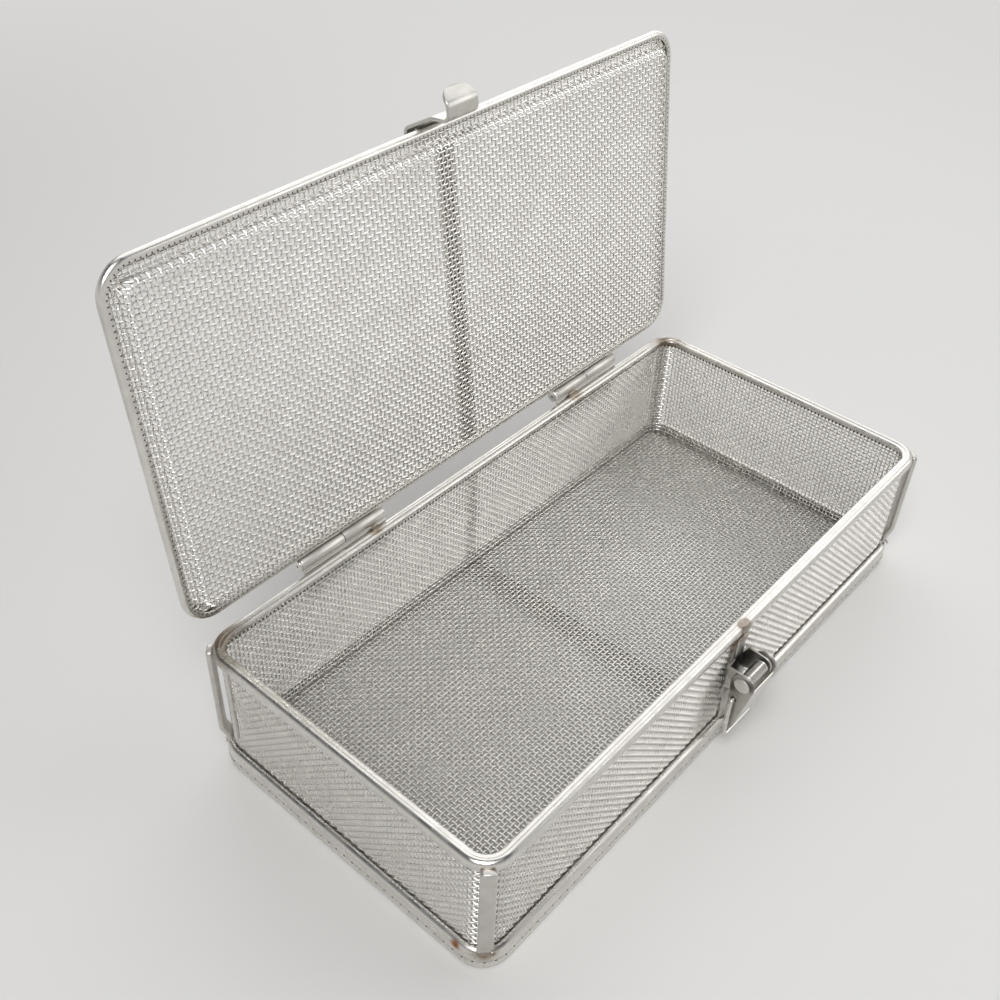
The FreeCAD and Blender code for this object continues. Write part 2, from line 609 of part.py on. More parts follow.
# --- Latch ---------------------------------------------------------------------------------
def latch_base_plate():
    """Plate on the front upright with two ears for the lever's pin and a welding tab."""
    face = BASE_FACE - SHEET
    plate = box(-BASE_HALF_WIDTH, BASE_HALF_WIDTH, face, BASE_FACE, BASE_BOTTOM, BASE_TOP)
    tab = box(-BASE_TAB_WIDTH / 2, BASE_TAB_WIDTH / 2, face, BASE_FACE, BASE_TOP,
              RIM_LEG_BOTTOM - BASE_TAB_GAP)
    tip = PIVOT_Y - EAR_RADIUS
    outline = [(BASE_FACE, BASE_TOP), (tip, PIVOT_Z + EAR_RADIUS),
               (tip, PIVOT_Z - EAR_RADIUS), (BASE_FACE, PIVOT_Z - EAR_FOOT_DROP)]
    inner = BASE_HALF_WIDTH - SHEET
    radii = [0, EAR_ROUNDING, EAR_ROUNDING, 0]
    ears = [side_plate(outline, radii, inner, BASE_HALF_WIDTH),
            side_plate(outline, radii, -BASE_HALF_WIDTH, -inner)]
    bore = rod(-BASE_HALF_WIDTH, BASE_HALF_WIDTH, PIVOT_Y, PIVOT_Z,
               PIVOT_PIN_RADIUS + RUNNING_FIT)
    return plate.fuse([tab] + ears).cut(bore).removeSplitter()


def latch_pin():
    """Riveted pivot pin through the ears and the lever's cheeks."""
    seat = CHEEK_FACE + SEAT_GAP
    end = seat + PIVOT_HEAD
    shank = rod(-end, end, PIVOT_Y, PIVOT_Z, PIVOT_PIN_RADIUS)
    heads = [rod(low, high, PIVOT_Y, PIVOT_Z, PIVOT_HEAD_RADIUS)
             for low, high in ((seat, end), (-end, -seat))]
    return shank.fuse(heads).removeSplitter()


def coil_ring(x, radius):
    """Corners of a many-sided ring round the lever's pivot."""
    turns = [2 * math.pi * i / SPRING_SIDE_COUNT for i in range(SPRING_SIDE_COUNT)]
    return [Vec(x, PIVOT_Y + radius * math.cos(turn), PIVOT_Z + radius * math.sin(turn))
            for turn in turns]


def latch_spring():
    """Torsion spring on the pin between the ears: a ridge for each of its closed coils."""
    room = BASE_HALF_WIDTH - SHEET - MOVING_GAP
    half_pitch = room / SPRING_TURN_COUNT
    bore = PIVOT_PIN_RADIUS + SPRING_PLAY
    rings = [coil_ring(-room, bore)]
    for i in range(2 * SPRING_TURN_COUNT + 1):
        rings.append(coil_ring(half_pitch * i - room, SPRING_RADIUS + SPRING_WIRE_RADIUS * (i % 2)))
    rings.append(coil_ring(room, bore))
    faces = []
    for ring, following in zip(rings, rings[1:] + rings[:1]):
        for i in range(SPRING_SIDE_COUNT):
            corners = [ring[i - 1], ring[i], following[i], following[i - 1]]
            faces.append(Part.Face(Part.makePolygon(corners + corners[:1])))
    return Part.makeSolid(Part.makeShell(faces))


def latch_lever():
    """Lever of U section: two teardrop cheeks joined by a web along their outer edge."""
    pivot = (PIVOT_Y, PIVOT_Z)
    tip = (HOLE_Y, LEVER_TIP_Z + LEVER_TIP_RADIUS)
    shift = SHEET / math.cos(math.atan2(tip[0] - pivot[0], pivot[1] - tip[1]))
    body = teardrop(-CHEEK_FACE, CHEEK_FACE, pivot, LEVER_RADIUS, tip, LEVER_TIP_RADIUS)
    inside = teardrop(-EAR_GAP_FACE, EAR_GAP_FACE, (PIVOT_Y + shift, PIVOT_Z), LEVER_RADIUS,
                      (tip[0] + shift, tip[1]), LEVER_TIP_RADIUS)
    behind = PIVOT_Y + LEVER_RADIUS + MOVING_GAP
    above = box(-EAR_GAP_FACE, EAR_GAP_FACE, PIVOT_Y - LEVER_RADIUS - MOVING_GAP, behind,
                PIVOT_Z - LEVER_WEB_DROP, PIVOT_Z + LEVER_RADIUS + MOVING_GAP)
    back = box(-EAR_GAP_FACE, EAR_GAP_FACE, HOLE_Y, behind,
               LEVER_TIP_Z - MOVING_GAP, PIVOT_Z)
    bore = rod(-CHEEK_FACE, CHEEK_FACE, PIVOT_Y, PIVOT_Z, PIVOT_PIN_RADIUS + RUNNING_FIT)
    bail = rod(-CHEEK_FACE, CHEEK_FACE, HOLE_Y, HOLE_Z, BAIL_WIRE_RADIUS + RUNNING_FIT)
    return body.cut([inside, above, back, bore, bail]).removeSplitter()


def latch_bail():
    """Wire loop hung in the lever's cheeks, long enough to reach the keeper's hook."""
    inside = EAR_GAP_FACE - MOVING_GAP
    low = HOLE_Z - BAIL_LENGTH
    points = [Vec(-inside, HOLE_Y, HOLE_Z), Vec(-BAIL_LEG_X, HOLE_Y, HOLE_Z),
              Vec(-BAIL_LEG_X, HOLE_Y, low), Vec(BAIL_LEG_X, HOLE_Y, low),
              Vec(BAIL_LEG_X, HOLE_Y, HOLE_Z), Vec(inside, HOLE_Y, HOLE_Z)]
    return bent_wire(points, [0, BAIL_BEND, BAIL_BEND, 0], BAIL_WIRE_RADIUS)


# --- Build ---------------------------------------------------------------------------------
def build_nodes():
    """All pieces by name, in the open pose."""
    nodes = {
        "wall_mesh": cloth_walls(),
        "floor_mesh": floor_mesh(),
        "rim_channel": rim_channel(),
        "base_ring": base_ring(),
        "front_upright": wall_upright(-1),
        "back_upright": wall_upright(1),
        "floor_brace": floor_brace(),
        "mesh_seam_strip": mesh_seam_strip(),
        "latch_base_plate": latch_base_plate(),
        "latch_pin": latch_pin(),
        "latch_spring": latch_spring(),
        "latch_lever": latch_lever(),
        "latch_bail": latch_bail(),
        "latch_keeper": opened(latch_keeper()),
        "lid_frame": opened(lid_frame()),
        "lid_mesh": opened(lid_mesh()),
        "lid_brace": opened(lid_brace()),
        "hinge_pin_left": hinge_pin(HINGE_LEFT_X, False),
        "hinge_pin_right": hinge_pin(HINGE_RIGHT_X, True),
    }
    for side, centre in (("left", HINGE_LEFT_X), ("right", HINGE_RIGHT_X)):
        nodes["hinge_leaf_" + side] = basket_hinge_leaf(centre)
        nodes["lid_hinge_leaf_" + side] = opened(lid_hinge_leaf(centre))
    for front, y_sign in (("front", -1), ("back", 1)):
        for side, x_sign in (("left", -1), ("right", 1)):
            nodes["corner_post_" + front + "_" + side] = corner_post(x_sign, y_sign)
    return nodes


def main():
    """Writes one STEP file for each piece."""
    os.makedirs("parts", exist_ok=True)
    for name, shape in build_nodes().items():
        shape.exportStep("parts/" + name + ".step")


main()
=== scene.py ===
"""Looks of the autoclave basket: woven cloth, folded channels, hinges and toggle latch.

Lengths in the classes are millimetres in the part's own frame: X along the basket, the latch
at the front (-Y), the hinges at the back (+Y), Z up, the origin under the basket's middle.
"""
from __future__ import annotations

import logging
import math
from dataclasses import dataclass
from enum import Enum
from typing import Sequence

import bpy
import numpy as np
from mathutils import Matrix, Vector

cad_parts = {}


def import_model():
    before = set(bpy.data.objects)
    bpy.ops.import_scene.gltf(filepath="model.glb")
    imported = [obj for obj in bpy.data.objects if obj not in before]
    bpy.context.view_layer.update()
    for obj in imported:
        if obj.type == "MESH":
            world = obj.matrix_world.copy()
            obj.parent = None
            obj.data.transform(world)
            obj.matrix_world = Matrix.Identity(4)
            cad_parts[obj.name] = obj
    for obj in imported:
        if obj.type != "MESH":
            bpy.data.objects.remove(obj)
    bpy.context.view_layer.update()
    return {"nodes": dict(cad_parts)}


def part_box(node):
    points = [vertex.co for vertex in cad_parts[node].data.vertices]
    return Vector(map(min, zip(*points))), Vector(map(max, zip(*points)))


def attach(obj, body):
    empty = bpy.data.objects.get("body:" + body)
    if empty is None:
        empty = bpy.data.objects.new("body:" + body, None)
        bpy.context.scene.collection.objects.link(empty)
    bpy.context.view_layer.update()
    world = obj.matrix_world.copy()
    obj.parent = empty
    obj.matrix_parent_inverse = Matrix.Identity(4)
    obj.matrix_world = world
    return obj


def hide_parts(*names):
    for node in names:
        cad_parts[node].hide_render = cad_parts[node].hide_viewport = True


log = logging.getLogger("autoclave_basket")
Tree, Socket, Array = bpy.types.NodeTree, bpy.types.NodeSocket, np.ndarray
Pair, Triple = tuple[float, float], tuple[float, float, float]
MM = 0.001
X_AXIS, Y_AXIS, Z_AXIS = np.eye(3)
HINGE_AXIS = (61.8, 54.8)   # y and z
LID_OPENING = 96.7          # degrees from shut to the pose shown
WIRE_SIDES = 5              # of each wire of the cloth
WIRE_SHARP = 80.0           # degrees, so that the cloth's wires look round
CLOTH_PITCH = 1.73          # of the floor's and the lid's cloth


# --- Colour and nodes ---
def linear(hex_colour: str) -> tuple[float, float, float, float]:
    """Turns an sRGB hex colour into linear RGBA.

    Args:
        hex_colour: six hex digits, such as "c8c6c2".
    Returns:
        Linear red, green, blue and an alpha of 1.
    """
    channels = [int(hex_colour[i:i + 2], 16) / 255 for i in (0, 2, 4)]
    values = [c / 12.92 if c <= 0.04045 else ((c + 0.055) / 1.055) ** 2.4 for c in channels]
    return values[0], values[1], values[2], 1.0


def add_node(tree: Tree, kind: str, inputs: dict | None = None,
             **settings: object) -> bpy.types.Node:
    """Adds one shader node with its inputs and its settings.

    Args:
        tree: the node tree to add to.
        kind: the node's type name after "ShaderNode", such as "TexNoise".
        inputs: socket names or numbers, each with a value or an output socket to link.
        settings: attribute names and values.
    Returns:
        The new node.
    """
    node = tree.nodes.new(f"ShaderNode{kind}")
    for name, value in settings.items():
        setattr(node, name, value)
    for name, value in (inputs or {}).items():
        socket = node.inputs[name]
        if isinstance(value, Socket):
            tree.links.new(value, socket)
        else:
            socket.default_value = value
    return node


def ranged(tree: Tree, value: Socket, source: Pair, target: Pair,
           kind: str = "SMOOTHSTEP") -> Socket:
    """Maps the source range of a value onto the target range, held at both ends."""
    return add_node(tree, "MapRange", {
        "Value": value, "From Min": source[0], "From Max": source[1],
        "To Min": target[0], "To Max": target[1]}, interpolation_type=kind).outputs[0]


def maths(tree: Tree, operation: str, first: Socket, second: Socket,
          clamp: bool = False) -> Socket:
    """One sum, product or choice of two values."""
    return add_node(tree, "Math", {0: first, 1: second}, operation=operation,
                    use_clamp=clamp).outputs[0]


def mixed(tree: Tree, share: Socket, colour: Socket | tuple, other: tuple) -> Socket:
    """Colour = (1 - share) colour + share other."""
    return add_node(tree, "Mix", {"Factor": share, 6: colour, 7: other},
                    data_type="RGBA").outputs[2]


def new_material(name: str) -> bpy.types.Material:
    """Material with an empty node tree."""
    material = bpy.data.materials.new(name)
    material.use_nodes = True
    material.node_tree.nodes.clear()
    return material


def put(name: str, data: bpy.types.ID) -> bpy.types.Object:
    """Adds an object with the given data to the scene."""
    added = bpy.data.objects.new(name, data)
    bpy.context.scene.collection.objects.link(added)
    return added


# --- Surfaces ---
@dataclass
class Surface:
    """Points in millimetres and faces as whole arrays; uv is one pair per point, or None."""

    points: Array
    faces: list[Array]
    uv: Array | None = None

    @staticmethod
    def joined(parts: Sequence["Surface"]) -> "Surface":
        """One surface from several, each part's face numbers moved up by the points before it."""
        starts = np.cumsum([0] + [len(p.points) for p in parts[:-1]])
        faces = [f + start for part, start in zip(parts, starts) for f in part.faces]
        uv = None
        if all(part.uv is not None for part in parts):
            uv = np.concatenate([part.uv for part in parts])
        return Surface(np.concatenate([part.points for part in parts]), faces, uv)


def opened(surface: Surface) -> Surface:
    """Turns a surface of the shut lid open about the hinges' axis: p' = o + R (p - o)."""
    turn = np.array(Matrix.Rotation(math.radians(-LID_OPENING), 3, Vector(X_AXIS)))
    centre = np.array((0.0, *HINGE_AXIS))
    return Surface((surface.points - centre) @ turn.T + centre, surface.faces, surface.uv)


def unit(vectors: Array) -> Array:
    """Each vector divided by its own length."""
    return vectors / np.maximum(np.linalg.norm(vectors, axis=-1, keepdims=True), 1e-12)


def raised(plan: Array, height: float = 0.0) -> Array:
    """(n, 2) points of a plan as (n, 3) points at one height."""
    return np.column_stack([plan, np.full(len(plan), height)])


def along_x(x: Array, centre: Sequence[float] = (0.0, 0.0)) -> Array:
    """Points at the given x on the line through a (y, z) centre."""
    return np.column_stack([x, np.tile(centre, (len(x), 1))])


def grid_faces(rows: int, columns: int, closed: bool) -> Array:
    """Quads between neighbours (i, j), (i, j+1), (i+1, j+1), (i+1, j) of a grid of points.

    Args:
        rows: points along the path.
        columns: points round the section, whose last column joins the first.
        closed: whether the last row joins the first too.
    Returns:
        One row of four point numbers per quad.
    """
    i = np.arange(rows if closed else rows - 1)[:, None]
    j = np.arange(columns)[None, :]
    i_next, j_next = (i + 1) % rows, (j + 1) % columns
    quads = [i * columns + j, i * columns + j_next, i_next * columns + j_next,
             i_next * columns + j]
    return np.stack(np.broadcast_arrays(*quads), axis=-1).reshape(-1, 4)


def swept(path: Array, side: Array, lift: Array, section: Array,
          closed: bool = False) -> Surface:
    """Carries a closed section along one or many paths at once.

    Point (w, i, k) = path(w, i) + section_u(i, k) side(w, i) + section_v(i, k) lift(w, i).
    Each open path is closed by a face over its first and its last section.

    Args:
        path: (paths, steps, 3) points, or (steps, 3) for one path.
        side: unit vectors across each path, same shape, or one for all.
        lift: unit vectors square to path and side, with side x lift along the path.
        section: (corners, 2) or (steps, corners, 2) section points, anticlockwise.
        closed: whether each path is a loop.
    Returns:
        The surface, its UV in millimetres along the path and round the section.
    """
    path = path.reshape(-1, *path.shape[-2:])
    side, lift = np.broadcast_to(side, path.shape), np.broadcast_to(lift, path.shape)
    paths, steps = path.shape[:2]
    if section.ndim == 2:
        section = np.broadcast_to(section, (steps, *section.shape))
    corners = section.shape[1]
    points = (path[:, :, None] + section[None, :, :, 0, None] * side[:, :, None]
              + section[None, :, :, 1, None] * lift[:, :, None])
    quads = grid_faces(steps, corners, closed)
    offsets = np.arange(paths)[:, None, None] * steps * corners
    faces = [(quads[None] + offsets).reshape(-1, 4)]
    if not closed:
        first = np.arange(corners)[::-1]
        last = np.arange(corners) + (steps - 1) * corners
        faces += [np.stack([cap + w for w in offsets[:, 0, 0]]) for cap in (first, last)]
    along = np.concatenate([np.zeros((paths, 1)), np.linalg.norm(
        np.diff(path, axis=1), axis=2).cumsum(axis=1)], axis=1)
    around = np.concatenate([[0], np.linalg.norm(
        np.diff(section[0], axis=0), axis=1).cumsum()])
    uv = np.stack(np.broadcast_arrays(along[:, :, None], around[None, None, :]), axis=-1)
    return Surface(points.reshape(-1, 3), faces, uv.reshape(-1, 2))


def ribbon(path: Array, side: Array, section: Array) -> Surface:
    """Carries a section along one path: its u along the side, its v along heading x side."""
    return swept(path, side, np.cross(unit(np.gradient(path, axis=0)), side), section)


def ring_points(sides: int) -> Array:
    """Corners of a regular polygon in a circle of radius 1, the first half a side round."""
    turn = 2 * math.pi * (np.arange(sides) + 0.5) / sides
    return np.stack([np.cos(turn), np.sin(turn)], axis=-1)


def tubes(path: Array, normal: Array, radius: float, sides: int,
          closed: bool = False, over: Array | None = None) -> Surface:
    """Round wires along one or many paths: a circle square to each path's heading.

    Heading = difference of the neighbouring points; across = normal x heading. Where over is
    given, the second UV value says how far out of the weave each point lies: 1/2 + 1/2 over
    times the sine of its place round the wire.

    Args:
        path: (paths, steps, 3) points, or (steps, 3) for one wire.
        normal: the cloth's normal, of a shape that fits the path's.
        radius: of the wire.
        sides: points round the wire.
        closed: whether each path is a loop.
        over: (paths, steps), +1 where the wire passes over and -1 where it passes under.
    Returns:
        The surface of all the wires.
    """
    if closed:
        heading = np.roll(path, -1, axis=-2) - np.roll(path, 1, axis=-2)
    else:
        heading = np.gradient(path, axis=-2)
    heading = unit(heading)
    across = unit(np.cross(normal, heading))
    circle = ring_points(sides)
    surface = swept(path, across, np.cross(heading, across), radius * circle, closed)
    if over is not None:
        surface.uv[:, 1] = (0.5 + 0.5 * over[:, :, None] * circle[:, 1]).reshape(-1)
    return surface


def rounded(corners: Sequence[Sequence[float]], radii: Sequence[float] | float, steps: int,
            closed: bool = False) -> Array:
    """Polyline with each corner turned into a circular arc.

    An arc is the rational curve of its two tangent points and its corner, weighted by the
    cosine of half its turn, which is exactly round.

    Args:
        corners: points of any dimension.
        radii: one radius, or one for each corner; 0 keeps the corner.
        steps: points on each arc.
        closed: whether the polyline is a loop.
    Returns:
        All points in order.
    """
    points = np.array(corners, float)
    radius = np.broadcast_to(np.array(radii, float), (len(points),)).copy()
    if not closed:
        radius[[0, -1]] = 0
    back = unit(np.roll(points, 1, axis=0) - points)
    ahead = unit(np.roll(points, -1, axis=0) - points)
    half = np.arccos(np.clip((back * ahead).sum(axis=1), -1, 1)) / 2
    reach = (radius / np.maximum(np.tan(half), 1e-9))[:, None]
    start, end = points + back * reach, points + ahead * reach
    t = np.linspace(0, 1, steps)[None, :, None]
    weight = np.sin(half)[:, None, None]
    a, b, c = (1 - t) ** 2, 2 * weight * t * (1 - t), t ** 2
    arcs = (a * start[:, None] + b * points[:, None] + c * end[:, None]) / (a + b + c)
    kept = np.ones((len(points), steps), bool)
    kept[radius == 0, 1:] = False
    return arcs[kept]


def strip_section(centre: Array, thickness: float) -> Array:
    """Closed outline of a bent strip: its centreline moved half the thickness to each side.

    Each end is closed by a half circle, so no edge of the strip is sharp.
    """
    heading = unit(np.gradient(centre, axis=0))
    across = np.stack([heading[:, 1], -heading[:, 0]], axis=-1) * thickness / 2
    turn = np.linspace(-math.pi / 2, math.pi / 2, 7)[1:-1, None]

    def cap(point: Array, out: Array, start: Array) -> Array:
        """Half circle from one side of the strip round its end to the other."""
        return point - start * np.sin(turn) + out * np.cos(turn) * thickness / 2

    ends = [cap(centre[-1], heading[-1], across[-1]), cap(centre[0], -heading[0], -across[0])]
    return np.concatenate([centre + across, ends[0], (centre - across)[::-1], ends[1]])


def flat_section(width: float, thickness: float, edge: float) -> Array:
    """Rectangle with rounded corners, anticlockwise, for straps and bars."""
    u, v = width / 2, thickness / 2
    return rounded([(-u, -v), (u, -v), (u, v), (-u, v)], edge, 4, closed=True)


@dataclass(frozen=True)
class Loop:
    """Rounded rectangle in plan, run anticlockwise from the middle of its front side."""

    x_half: float
    y_front: float
    y_back: float
    radius: float

    def _spans(self) -> tuple[Array, Array, Array, Array]:
        """Length, start point, start heading and turn (0 or 90 degrees) of each span."""
        run = self.x_half - self.radius
        depth = self.y_back - self.y_front - 2 * self.radius
        arc = math.pi / 2 * self.radius
        lengths = np.array([run, arc, depth, arc, 2 * run, arc, depth, arc, run])
        r, x = self.radius, self.x_half
        starts = np.array([(0, self.y_front), (run, self.y_front), (x, self.y_front + r),
                           (x, self.y_back - r), (run, self.y_back), (-run, self.y_back),
                           (-x, self.y_back - r), (-x, self.y_front + r),
                           (-run, self.y_front)], float)
        headings = np.radians([0, 0, 90, 90, 180, 180, 270, 270, 360])
        return lengths, starts, headings, np.array([0, 1, 0, 1, 0, 1, 0, 1, 0])

    @property
    def length(self) -> float:
        """Whole length round the loop."""
        return float(self._spans()[0].sum())

    def at(self, along: Array) -> tuple[Array, Array]:
        """Points and outward normals at distances along the loop.

        On a straight span the point moves with the heading; on an arc it turns about the
        arc's centre, which lies one radius to the left of the heading.
        """
        lengths, starts, headings, bends = self._spans()
        ends = np.cumsum(lengths)
        along = np.mod(along, ends[-1])
        span = np.minimum(np.searchsorted(ends, along, side="right"), len(ends) - 1)
        past = along - (ends - lengths)[span]
        heading = headings[span]
        angle = heading + bends[span] * past / self.radius
        left = np.stack([-np.sin(heading), np.cos(heading)], axis=-1)
        normal = np.stack([np.sin(angle), -np.cos(angle)], axis=-1)
        ahead = np.stack([np.cos(heading), np.sin(heading)], axis=-1)
        straight = starts[span] + ahead * past[..., None]
        turned = starts[span] + left * self.radius + normal * self.radius
        return np.where(bends[span][..., None] == 1, turned, straight), normal

    def stations(self, arc_steps: int = 10, run_step: float = 6.0) -> Array:
        """Distances for a smooth sweep: even steps on the runs, closer ones on the arcs."""
        lengths, _, _, bends = self._spans()
        begins = np.cumsum(lengths) - lengths
        counts = np.where(bends == 1, arc_steps, np.ceil(lengths / run_step)).astype(int)
        return np.concatenate([begin + length * np.arange(count) / count for begin, length, count
                               in zip(begins, lengths, counts)])


def around_loop(loop: Loop, section: Array) -> Surface:
    """Carries an (inset, height) section round a loop: p = loop point - inset normal + height z.

    Args:
        loop: the rounded rectangle of the section's outermost line.
        section: closed outline, anticlockwise.
    Returns:
        The closed surface.
    """
    place, normal = loop.at(loop.stations())
    return swept(raised(place), raised(-normal), Z_AXIS, section, closed=True)


def mounds(places: Array, normals: Array, across: Array, sizes: Array,
           rings: int = 2, sides: int = 6) -> Surface:
    """Low rounded mounds, such as weld beads and pressed marks, all at once.

    Ring i of each mound has radius t = cos(a) and stands at its rise times sin(a), a going
    from 0 at the foot to nearly 90 degrees.

    Args:
        places: (n, 3) middles of the feet.
        normals: (n, 3) unit directions in which they rise.
        across: (n, 3) unit directions of the first half size, square to the normals.
        sizes: (n, 3) half length, half width and rise.
        rings: rings between foot and top.
        sides: points on each ring.
    Returns:
        The surface, each mound closed above and below.
    """
    second = np.cross(normals, across)
    angle = np.linspace(0, math.pi / 2, rings + 1)[:-1]
    turn = 2 * math.pi * np.arange(sides) / sides
    u = np.cos(angle)[:, None] * np.cos(turn)[None]
    v = np.cos(angle)[:, None] * np.sin(turn)[None]
    w = np.sin(angle)[:, None] + 0 * turn[None]
    shape = [axis[:, None, None] * (size[:, None, None] * part[None])[..., None]
             for axis, size, part in zip((across, second, normals), sizes.T, (u, v, w))]
    points = places[:, None, None] + shape[0] + shape[1] + shape[2]
    starts = (np.arange(len(places)) * rings * sides)[:, None]
    quads = grid_faces(rings, sides, False)
    top, foot = np.arange(sides) + (rings - 1) * sides, np.arange(sides)[::-1]
    return Surface(points.reshape(-1, 3), [(quads[None] + starts[..., None]).reshape(-1, 4),
                                           top[None] + starts, foot[None] + starts])


def mark_row(loop: Loop, pitch: float, height: float, sizes: Sequence[float],
             shift: float = 0.0, down: bool = False) -> Surface:
    """Evenly pitched low marks along a loop.

    Mark k of n stands at (k + shift) / n of the loop's length.

    Args:
        loop: the line they stand on.
        pitch: about how far apart they stand; a whole number of them fits the loop.
        height: of their middles.
        sizes: half length, half width and rise of each.
        shift: share of a pitch by which all of them are moved along.
        down: whether they point down from a level face, and not out of an upright one.
    Returns:
        The surface of all the marks.
    """
    count = round(loop.length / pitch)
    place, normal = loop.at(loop.length * (np.arange(count) + shift) / count)
    out = raised(normal)
    if down:
        facing, across = np.tile(-Z_AXIS, (count, 1)), out
    else:
        facing, across = out, np.cross(Z_AXIS, out)
    return mounds(raised(place, height), facing, across, np.tile(sizes, (count, 1)))


def bead(place: Sequence[float], normal: Sequence[float], sizes: Sequence[float],
         across: Sequence[float] = X_AXIS) -> Surface:
    """One smooth mound: the surface of mounds() for a single place, with finer rings."""
    up = unit(np.array(normal, float))
    first = np.array(across, float)
    first = unit(first - up * (first @ up))
    return mounds(np.array([place], float), up[None], first[None], np.array([sizes], float),
                  6, 20)


def spindle(x: Array, radii: Array, centre: Sequence[float],
            sides: int = 36) -> Surface:
    """Turned piece along X: at each x a circle of its own radius about the (y, z) centre."""
    section = radii[:, None, None] * ring_points(sides)
    return swept(along_x(x, centre), Y_AXIS, Z_AXIS, section)


def eased_rod(x_from: float, x_to: float, radius: float, ease: float,
              centre: Sequence[float]) -> Surface:
    """Rod along X whose end edges are quarter circles of the ease."""
    turn = np.linspace(0, math.pi / 2, 5)
    step, inset = ease * (1 - np.cos(turn)), ease * (1 - np.sin(turn))
    x = np.concatenate([x_from + step, (x_to - step)[::-1]])
    return spindle(x, radius - np.concatenate([inset, inset[::-1]]), centre)


def head_dome(x_seat: float, x_top: float, radius: float, centre: Sequence[float]) -> Surface:
    """Low rounded rivet head: x rises with the sine and the radius falls with the cosine."""
    turn = np.linspace(0, math.pi / 2, 9)[:-1]
    x = x_seat + (x_top - x_seat) * np.concatenate([[0.0], 0.3 + 0.7 * np.sin(turn)])
    radii = radius * np.concatenate([[1.0], np.cos(turn)])
    if x_top < x_seat:
        x, radii = x[::-1], radii[::-1]
    return spindle(x, radii, centre)


def eased_plate(outline: Array, thickness: float, edge: float, origin: Sequence[float],
                u_axis: Array, v_axis: Array) -> Surface:
    """Flat plate of any outline whose rims are rounded.

    Each ring is the outline moved in by e (1 - sin t) and out of the middle plane by
    h / 2 - e (1 - cos t), t going from 0 to 90 degrees at each face.

    Args:
        outline: (n, 2) points, anticlockwise.
        thickness: of the plate, half to each side of the origin's plane.
        edge: radius e of its rims.
        origin: place of the outline's (0, 0).
        u_axis: direction of its first coordinate.
        v_axis: direction of its second.
    Returns:
        The closed surface.
    """
    ahead = unit(np.roll(outline, -1, axis=0) - np.roll(outline, 1, axis=0))
    inward = np.stack([-ahead[:, 1], ahead[:, 0]], axis=-1)
    turn = np.linspace(0, math.pi / 2, 4)
    inset = edge * (1 - np.sin(turn))
    rise = thickness / 2 - edge * (1 - np.cos(turn))
    insets, rises = np.concatenate([inset, inset[::-1]]), np.concatenate([-rise, rise[::-1]])
    flat = outline[None] + inward[None] * insets[:, None, None]
    points = (np.array(origin, float) + flat[..., :1] * u_axis + flat[..., 1:] * v_axis
              + rises[:, None, None] * np.cross(u_axis, v_axis))
    count, rows = len(outline), len(insets)
    first, last = np.arange(count)[::-1], np.arange(count) + (rows - 1) * count
    return Surface(points.reshape(-1, 3),
                   [grid_faces(rows, count, False), first[None], last[None]])


def bar(start: Sequence[float], end: Sequence[float], across: Array, width: float,
        thickness: float) -> Surface:
    """Straight flat bar with eased edges; across is the unit direction of its width."""
    return ribbon(np.linspace(start, end, 3), across, flat_section(width, thickness, 0.3))


def arc_points(centre: Sequence[float], radius: float, first: float, last: float,
               steps: int) -> Array:
    """Points of a circular arc in its own plane, between two angles in degrees."""
    turn = np.radians(np.linspace(first, last, steps))
    return np.array(centre) + radius * np.stack([np.cos(turn), np.sin(turn)], axis=-1)


# --- Finishes ---
UPRIGHT_LINES = (1.0, 1.0, 0.15)    # grain scale that draws the marks out along Z
BUMP_DEPTH = 0.05                   # mm
CLOUD_SPAN = (0.3, 0.7)             # the part of the noise that is spread over a cloud's range
CROSSING_SHADE_SPAN = (0.08, 0.45)        # how deep in the weave a wire is darkened as painted shade, and where that ends
STAIN_AND_SHADE_CORE = 0.2                    # share of a tint's radius in which it is full
STAIN_AND_SHADE_STRENGTH = 1.8


